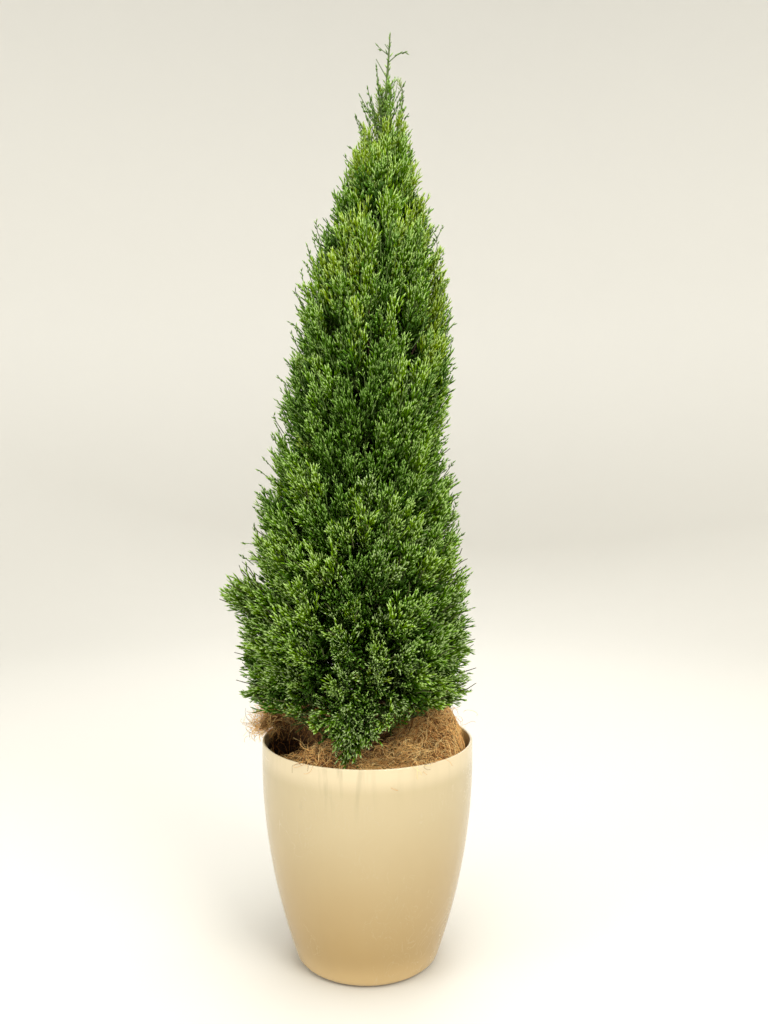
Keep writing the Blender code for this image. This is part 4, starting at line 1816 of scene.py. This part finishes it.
            # The buds that are not pale take darker tones as painted shade
            tone = Tone.BRIGHT if pale else rng.choice((Tone.MID, Tone.DEEP))
            foliage.beds[tone].add(place, way, rng.uniform(0, TURN), size, foliage.short)
            height += self.bud_spacing
        end = Vector((trunk.x(trunk.tip), 0, trunk.tip - self.last_bud))
        foliage.beds[Tone.DEEP].add(end, UP, 0.0, 1.0, foliage.short)

    def _grow(self, shoot: LeaderShoot, foliage: Foliage, rng: Rng) -> None:
        """Grow one shoot with single cords along it, mostly in the deep tone as painted shade."""
        points = shoot.points(self.crown.trunk)
        last = len(points) - 1
        girths = [self.girth - self.taper * k / last for k in range(last + 1)]
        foliage.shoots.add(points, girths)
        tone = rng.choice((Tone.MID, Tone.DEEP, Tone.DEEP))
        count = 2 * shoot.sprigs
        for k in range(count):
            share = 0.25 + 0.70 * (k + 0.5) / count if count > 2 else 0.6 + 0.3 * k
            place, along = on_run(points, last * share)
            side = k * math.pi + rng.uniform(-0.5, 0.5)
            way = spun(along, math.radians(rng.uniform(*self.cord_angles)), side)
            roll = rng.uniform(0, TURN)
            foliage.beds[tone].add(place, way, roll, rng.uniform(0.7, 1.1), foliage.short)


@dataclass
class Trunk:
    """The trunk with the relief of its bark, up to the green tip of the leader."""

    form: TrunkForm
    sides: int = 28
    spacing: float = 0.0045
    relief: float = 0.0011
    smooth_below: float = 0.008

    def _skin(self, height: float, turn: float) -> Vector:
        """A point of the bark: long furrows that fade out towards the young tip."""
        radius = self.form.radius(height)
        away = level(turn)
        spot = Vector((away.x * 3.2, away.y * 3.2, height * 14))
        furrow = abs(noise.noise(spot)) + 0.5 * abs(noise.noise(spot * 2.3))
        depth = self.relief * min(1.0, radius / self.smooth_below) * furrow
        return self.form.middle(height) + away * (radius - depth)

    def build(self, finish: Material) -> None:
        """Make the piece and let it stand for the trunk's solid."""
        low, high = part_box("trunk")
        steps = int((high.z - low.z) / self.spacing)
        shape = bmesh.new()
        rows = []
        for step in range(steps + 1):
            height = low.z + (high.z - low.z) * step / steps
            rows.append([shape.verts.new(self._skin(height, TURN * k / self.sides))
                         for k in range(self.sides)])
        bridge(shape, rows)
        shape.faces.new(rows[0])
        shape.faces.new(rows[-1])
        register(add_smooth(mesh_from("bark_trunk", shape), finish), ["trunk"])


@dataclass(frozen=True)
class Heap:
    """A heap of coir, or a hollow where its rise is negative."""

    x: float
    y: float
    rise: float
    spread: float


@dataclass
class Coir:
    """The coir on the soil: a matted bed, loose strands over it, and strays over the rim."""

    crown: CrownForm
    planter: PlanterForm
    limbs: LimbTree
    level: float = 0.284
    edge_level: float = 0.270
    headroom: float = 0.004
    lowest: float = 0.2485
    wall_gap: float = 0.0035
    seat_gap: float = 0.0006
    bed_gap: float = 0.0012
    bed_drop: float = 0.002
    smooth_from: float = 0.97
    slope_width: float = 0.022
    bank_angle: float = math.radians(148)
    bank_spread: float = math.radians(21)
    bank_rise: float = 0.044
    lump_radius: float = 0.139
    lump_height: float = 0.3085
    lump_angle: float = math.radians(163)
    lump_size: tuple[float, float, float] = (0.0095, 0.034, 0.0110)
    lump_gap: float = 0.0008
    hollow: Heap = Heap(-0.105, 0.006, -0.060, 0.038)
    heaps: tuple[Heap, ...] = (
        Heap(0.090, 0.000, 0.058, 0.040),
        Heap(-0.098, 0.078, 0.058, 0.042),
        Heap(0.020, 0.110, 0.034, 0.050),
        Heap(-0.048, 0.104, 0.030, 0.042),
        Heap(-0.052, -0.088, 0.014, 0.034),
        Heap(0.020, -0.075, -0.012, 0.040),
    )
    # Loose fluff: middle in x and y, height above the floor, spread, and how many strands
    tufts: tuple[tuple[Heap, int], ...] = (
        (Heap(-0.138, 0.046, 0.313, 0.009), 280),
        (Heap(-0.143, 0.020, 0.303, 0.008), 230),
        (Heap(-0.112, 0.082, 0.326, 0.013), 180),
        (Heap(-0.122, 0.056, 0.318, 0.009), 190),
        (Heap(0.084, -0.015, 0.332, 0.012), 150),
        (Heap(0.104, -0.030, 0.312, 0.010), 110),
        (Heap(-0.055, -0.092, 0.300, 0.013), 100),
        (Heap(0.045, -0.096, 0.298, 0.015), 100),
        (Heap(-0.078, -0.117, 0.297, 0.003), 6),
        (Heap(-0.060, -0.127, 0.297, 0.003), 4),
        (Heap(0.040, -0.134, 0.297, 0.003), 4),
        (Heap(0.078, -0.117, 0.297, 0.003), 6),
        (Heap(0.060, 0.126, 0.298, 0.004), 8),
    )
    farthest: float = 0.170
    farthest_from: float = -0.012
    clear_of_trunk: float = 0.045
    strand_gap: float = 0.003
    strand_bends: Span = (0.1, 0.95)
    strand_strides: Span = (0.0034, 0.0078)
    strand_lifts: Span = (-0.001, 0.0030)
    strand_girths: Span = (0.00020, 0.00044)
    hump: float = 0.0060
    highest_hump: float = 0.0095
    curl_bends: Span = (0.35, 0.85)
    curl_strides: Span = (0.0028, 0.0056)
    curl_girth: float = 0.00022
    # How often a strand takes each tone, from pale to dark
    usual_weights: tuple[float, ...] = (0.33, 0.37, 0.20, 0.10)
    # The left side's and the hollow's darker weights are painted shade
    left_weights: tuple[float, ...] = (0.18, 0.34, 0.28, 0.20)
    hollow_weights: tuple[float, ...] = (0.0, 0.05, 0.33, 0.62)
    tuft_weights: tuple[float, ...] = (0.28, 0.38, 0.24, 0.10)
    # Strays over the rim are dark partly as fibre and partly as painted shadow on the planter
    stray_weights: tuple[float, ...] = (0.0, 0.1, 0.4, 0.5)
    few: int = 10
    hollow_share: float = 1.15
    left_until: float = 0.04
    bright_above: float = 0.300
    rings: int = 34
    sides: int = 132
    strands: int = 3100
    strand_points: int = 7
    seed: int = 77

    def top(self, radius: float, angle: float) -> float:
        """The height of the coir at a distance and direction from the trunk's foot."""
        x = self.crown.trunk.foot_x + radius * math.cos(angle)
        y = radius * math.sin(angle)
        height = self.level
        for heap in (self.hollow, *self.heaps):
            height += heap.rise * bell(math.hypot(x - heap.x, y - heap.y), heap.spread)
        return min(height, self.crown.underside(radius, angle) - self.headroom)

    def surface(self, x: float, y: float) -> float:
        """The coir's height at a point of the plan, drawn down to the edge at the wall."""
        from_foot = x - self.crown.trunk.foot_x
        radius, angle = math.hypot(from_foot, y), math.atan2(y, from_foot)
        bank = bell(turn_between(math.atan2(y, x), self.bank_angle), self.bank_spread)
        edge = self.edge_level + self.bank_rise * bank
        inside = self.planter.inner(self.edge_level) - self.wall_gap - math.hypot(x, y)
        share = min(1.0, max(0.0, inside / self.slope_width))
        share = share * (2.0 - share)
        return max(self.lowest, edge + (self.top(radius, angle) - edge) * share)

    def _bed(self) -> None:
        """The matted bed, from close round the trunk to close inside the wall."""
        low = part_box("coir")[0].z
        shape = bmesh.new()
        ways = [level(TURN * k / self.sides) for k in range(self.sides)]
        hole = self.crown.trunk.radius(low) + self.seat_gap
        inner = [Vector((self.crown.trunk.foot_x, 0, 0)) + way * hole for way in ways]
        edge = self.planter.inner(self.edge_level) - self.bed_gap
        rows = []
        for ring in range(self.rings + 1):
            share = ring / self.rings
            row = []
            for start, way in zip(inner, ways):
                spot = start.lerp(way * edge, share)
                rough = 0.004 * noise.noise(spot * 75) + 0.0025 * noise.noise(spot * 210)
                rough *= 0.2 + 0.8 * (share < self.smooth_from)
                height = self.surface(spot.x, spot.y) + rough - self.bed_drop
                row.append(shape.verts.new((spot.x, spot.y, height)))
            rows.append(row)
        seat = self.planter.inner(low) - self.seat_gap
        outer_foot = [shape.verts.new(way * seat + UP * low) for way in ways]
        inner_foot = [shape.verts.new(start + UP * low) for start in inner]
        bridge(shape, [inner_foot, *rows, outer_foot, inner_foot])
        self._add_lump(shape)
        finish = CoirBedFinish(self.hollow).make()
        register(add_smooth(mesh_from("coir_bed", shape), finish), ["coir"])

    def _add_lump(self, shape: Shape) -> None:
        """Add the matted lump that lies over the rim where the bank stands highest."""
        turn = Matrix.Rotation(self.lump_angle, 3, "Z")
        middle = turn @ Vector((self.lump_radius, 0.0, self.lump_height))
        for vert in bmesh.ops.create_icosphere(shape, subdivisions=3, radius=1.0)["verts"]:
            rough = 1.0 + 0.45 * noise.noise(vert.co * 1.7) + 0.25 * noise.noise(vert.co * 4.1)
            vert.co = middle + turn @ (vert.co * Vector(self.lump_size)) * rough
            vert.co.z = max(vert.co.z, self.planter.height + self.lump_gap)

    def _strand(self, rng: Rng) -> list[Vector]:
        """One loose strand that wanders over the bed."""
        limit = self.planter.inner(self.edge_level) - self.strand_gap
        foot_x = self.crown.trunk.foot_x
        while True:
            x, y = rng.uniform(-limit, limit), rng.uniform(-limit, limit)
            if math.hypot(x, y) < limit and math.hypot(x - foot_x, y) > self.clear_of_trunk:
                break
        heading = rng.uniform(0, TURN)
        bend = rng.choice((-1, 1)) * rng.uniform(*self.strand_bends)
        stride = rng.uniform(*self.strand_strides)
        lift = rng.uniform(*self.strand_lifts)
        hump = min(self.highest_hump, abs(rng.gauss(0.0, self.hump)))
        points = []
        for k in range(self.strand_points):
            share = k / (self.strand_points - 1)
            ground = self.surface(x, y)
            height = ground + lift + hump * math.sin(math.pi * share)
            points.append(Vector((x, y, height + rng.uniform(-0.0004, 0.0004))))
            heading += bend + rng.gauss(0, 0.30)
            away = level(heading) * stride
            if math.hypot(x + away.x, y + away.y) > limit:
                away = -away
                heading += math.pi
            drop = self.surface(x + away.x, y + away.y) - ground
            away *= stride / math.hypot(stride, drop)
            x, y = x + away.x, y + away.y
        return points

    def _curl(self, rng: Rng, tuft: Heap) -> list[Vector]:
        """A curly strand of the loose fluff that stands off the coir.

        Args:
            rng: The draws.
            tuft: The fluff's middle, its height and its spread.

        Returns:
            Its points.
        """
        points = []
        while len(points) < self.strand_points:
            place = Vector((rng.gauss(tuft.x, tuft.spread), rng.gauss(tuft.y, tuft.spread),
                            rng.gauss(tuft.rise, 0.6 * tuft.spread)))
            way = Vector((rng.gauss(0, 1), rng.gauss(0, 1), rng.gauss(0, 0.6))).normalized()
            about = Vector((rng.gauss(0, 1), rng.gauss(0, 1), rng.gauss(0, 1))).normalized()
            bend = Matrix.Rotation(rng.uniform(*self.curl_bends), 3, about)
            stride = rng.uniform(*self.curl_strides)
            points = []
            for _ in range(self.strand_points):
                if math.hypot(place.x - self.farthest_from, place.y) > self.farthest:
                    break
                points.append(place.copy())
                place = place + way * stride
                way = bend @ way
        return points

    def _weights(self, place: Vector) -> tuple[float, ...]:
        """How often a strand takes each tone: darkest in the hollow and darker on the left, as painted
        shade.
        """
        off = math.hypot(place.x - self.hollow.x, place.y - self.hollow.y)
        if off < self.hollow_share * self.hollow.spread and place.z < self.bright_above:
            return self.hollow_weights
        if place.x < self.crown.trunk.foot_x and place.y < self.left_until:
            return self.left_weights
        return self.usual_weights

    def build(self) -> None:
        """Make the bed and the strands."""
        self._bed()
        rng = random.Random(self.seed)
        tones = {tone: Limbs() for tone in Strand}
        for _ in range(self.strands):
            points = self._strand(rng)
            tone = rng.choices(list(Strand), self._weights(points[self.strand_points // 2]))[0]
            tones[tone].add(points, [rng.uniform(*self.strand_girths)] * self.strand_points)
        for tuft, count in self.tufts:
            weights = self.tuft_weights if count > self.few else self.stray_weights
            for _ in range(count):
                tone = rng.choices(list(Strand), weights)[0]
                tones[tone].add(self._curl(rng, tuft), [self.curl_girth] * self.strand_points)
        for tone, runs in tones.items():
            name = f"coir_strands_{tone.value[0]}"
            register(runs.make(name, self.limbs, 3, tone.finish().make()), ["coir"])


@dataclass
class Planter:
    """The planter: one moulded shell with a rounded rim and foot, hollow to its floor."""

    form: PlanterForm
    sides: int = 128
    wall_steps: int = 20
    rounding_steps: int = 6
    rim_steps: int = 8
    recess: float = 0.0012
    recess_inset: float = 0.012
    recess_slope: float = 0.0015
    sharp_from: float = math.radians(50)

    def _profile(self) -> list[Span]:
        """The outline from the middle of the underside, up the wall and down the inside."""
        form = self.form
        foot = form.radius(0) - form.foot_rounding - self.recess_inset
        points = [(0.0, self.recess), (foot, self.recess), (foot + self.recess_slope, 0.0)]
        for step in range(self.rounding_steps + 1):
            turn = math.pi / 2 * step / self.rounding_steps
            height = form.foot_rounding * (1 - math.cos(turn))
            radius = form.radius(height) - form.foot_rounding * (1 - math.sin(turn))
            points.append((radius, height))
        half = form.wall / 2
        rise = form.height - half - form.foot_rounding
        for step in range(1, self.wall_steps):
            height = form.foot_rounding + rise * step / self.wall_steps
            points.append((form.radius(height), height))
        lip = form.radius(form.height) - half
        for step in range(self.rim_steps + 1):
            turn = math.pi * step / self.rim_steps
            points.append((lip + half * math.cos(turn), form.height - half + half * math.sin(turn)))
        for step in reversed(range(self.wall_steps)):
            height = form.floor + (form.height - half - form.floor) * step / self.wall_steps
            points.append((form.inner(height), height))
        return points + [(0.0, form.floor)]

    def build(self) -> None:
        """Turn the outline and make the piece."""
        mesh = mesh_from("planter_shell", turned(self._profile(), self.sides))
        item = add_smooth(mesh, PlanterFinish().make())
        mesh.set_sharp_from_angle(angle=self.sharp_from)
        register(item, ["planter"])


@dataclass(frozen=True)
class Lamp:
    """A soft studio lamp that faces the plant."""

    name: str
    place: tuple[float, float, float]
    width: float
    height: float
    power: float
    colour: Colour
    aim: tuple[float, float, float] = (0.0, 0.0, 0.6)

    def build(self) -> None:
        """Add the lamp."""
        light = bpy.data.lights.new(self.name, "AREA")
        light.shape = "RECTANGLE"
        light.size = self.width
        light.size_y = self.height
        light.energy = self.power
        light.color = self.colour
        item = bpy.data.objects.new(self.name, light)
        item.location = self.place
        facing = Vector(self.aim) - Vector(self.place)
        item.rotation_euler = facing.to_track_quat("-Z", "Y").to_euler()
        bpy.context.scene.collection.objects.link(item)


@dataclass
class Studio:
    """A pale floor that sweeps up all round, soft lamps, and the camera."""

    lamps: tuple[Lamp, ...] = (
        Lamp("key", (1.5, -2.1, 2.4), 1.4, 1.6, 62.0, (1.0, 0.97, 0.91)),
        Lamp("fill", (-2.2, -1.4, 1.6), 0.9, 2.2, 22.0, (0.98, 0.99, 1.0)),
        Lamp("top", (0.1, -0.3, 3.0), 1.6, 1.6, 60.0, (1.0, 0.98, 0.94)),
        Lamp("back", (0.3, 2.6, 1.9), 2.4, 1.6, 24.0, (0.97, 0.98, 1.0)),
        Lamp("low", (-0.7, -2.4, 0.5), 1.4, 0.7, 9.0, (1.0, 0.98, 0.94), (0.0, 0.0, 0.3)),
    )
    camera_place: tuple[float, float, float] = (0.0223, -1.206, 0.648)
    camera_pitch: float = math.radians(90 - 2.33)
    camera_lens: float = 31.64
    sweep_start: float = 2.4
    sweep_radius: float = 2.0
    sweep_top: float = 6.0
    floor_gap: float = 0.0004
    sweep_sides: int = 72
    sweep_steps: int = 14
    sky: Colour = (0.96, 0.955, 0.92)
    sky_strength: float = 0.86

    def _floor(self) -> None:
        """The floor and its sweep, whose faces look in and up."""
        profile = [(0.0, 0.0), (self.sweep_start, 0.0)]
        for step in range(1, self.sweep_steps + 1):
            turn = math.pi / 2 * step / self.sweep_steps
            profile.append((self.sweep_start + self.sweep_radius * math.sin(turn),
                            self.sweep_radius * (1 - math.cos(turn))))
        profile.append((self.sweep_start + self.sweep_radius, self.sweep_top))
        shape = turned(reversed(profile), self.sweep_sides)
        mesh = bpy.data.meshes.new("studio_floor")
        shape.to_mesh(mesh)
        shape.free()
        floor = add_smooth(mesh, StudioFinish().make())
        floor.location.z = -self.floor_gap

    def _sky(self) -> None:
        """Even light from all round."""
        world = bpy.data.worlds.new("studio_sky")
        world.use_nodes = True
        shade = world.node_tree.nodes["Background"]
        shade.inputs["Color"].default_value = (*self.sky, 1.0)
        shade.inputs["Strength"].default_value = self.sky_strength
        bpy.context.scene.world = world

    def _camera(self) -> None:
        """The camera at the photograph's viewing angle."""
        camera = bpy.data.cameras.new("camera")
        camera.lens = self.camera_lens
        item = bpy.data.objects.new("camera", camera)
        item.location = self.camera_place
        item.rotation_euler = (self.camera_pitch, 0.0, 0.0)
        bpy.context.scene.collection.objects.link(item)
        bpy.context.scene.camera = item

    def build(self) -> None:
        """Set up the studio."""
        self._floor()
        self._sky()
        self._camera()
        for lamp in self.lamps:
            lamp.build()
        bpy.context.scene.view_settings.view_transform = "Standard"


def dress_soil() -> None:
    """Give the packed soil its finish."""
    soil = frame["nodes"]["soil"]
    soil.data.materials.clear()
    soil.data.materials.append(SoilFinish().make())


def main() -> None:
    logging.basicConfig(level=logging.INFO, format="%(name)s: %(message)s")
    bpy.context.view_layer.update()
    crown = CrownForm()
    planter = PlanterForm()
    limbs = LimbTree()
    bark = BarkFinish().make()
    Studio().build()
    Planter(planter).build()
    dress_soil()
    Coir(crown, planter, limbs).build()
    Trunk(crown.trunk).build(bark)
    foliage = Foliage(crown, SprayRule())
    Leader(crown).build(foliage)
    foliage.build(limbs, bark)


if __name__ == "__main__":
    main()
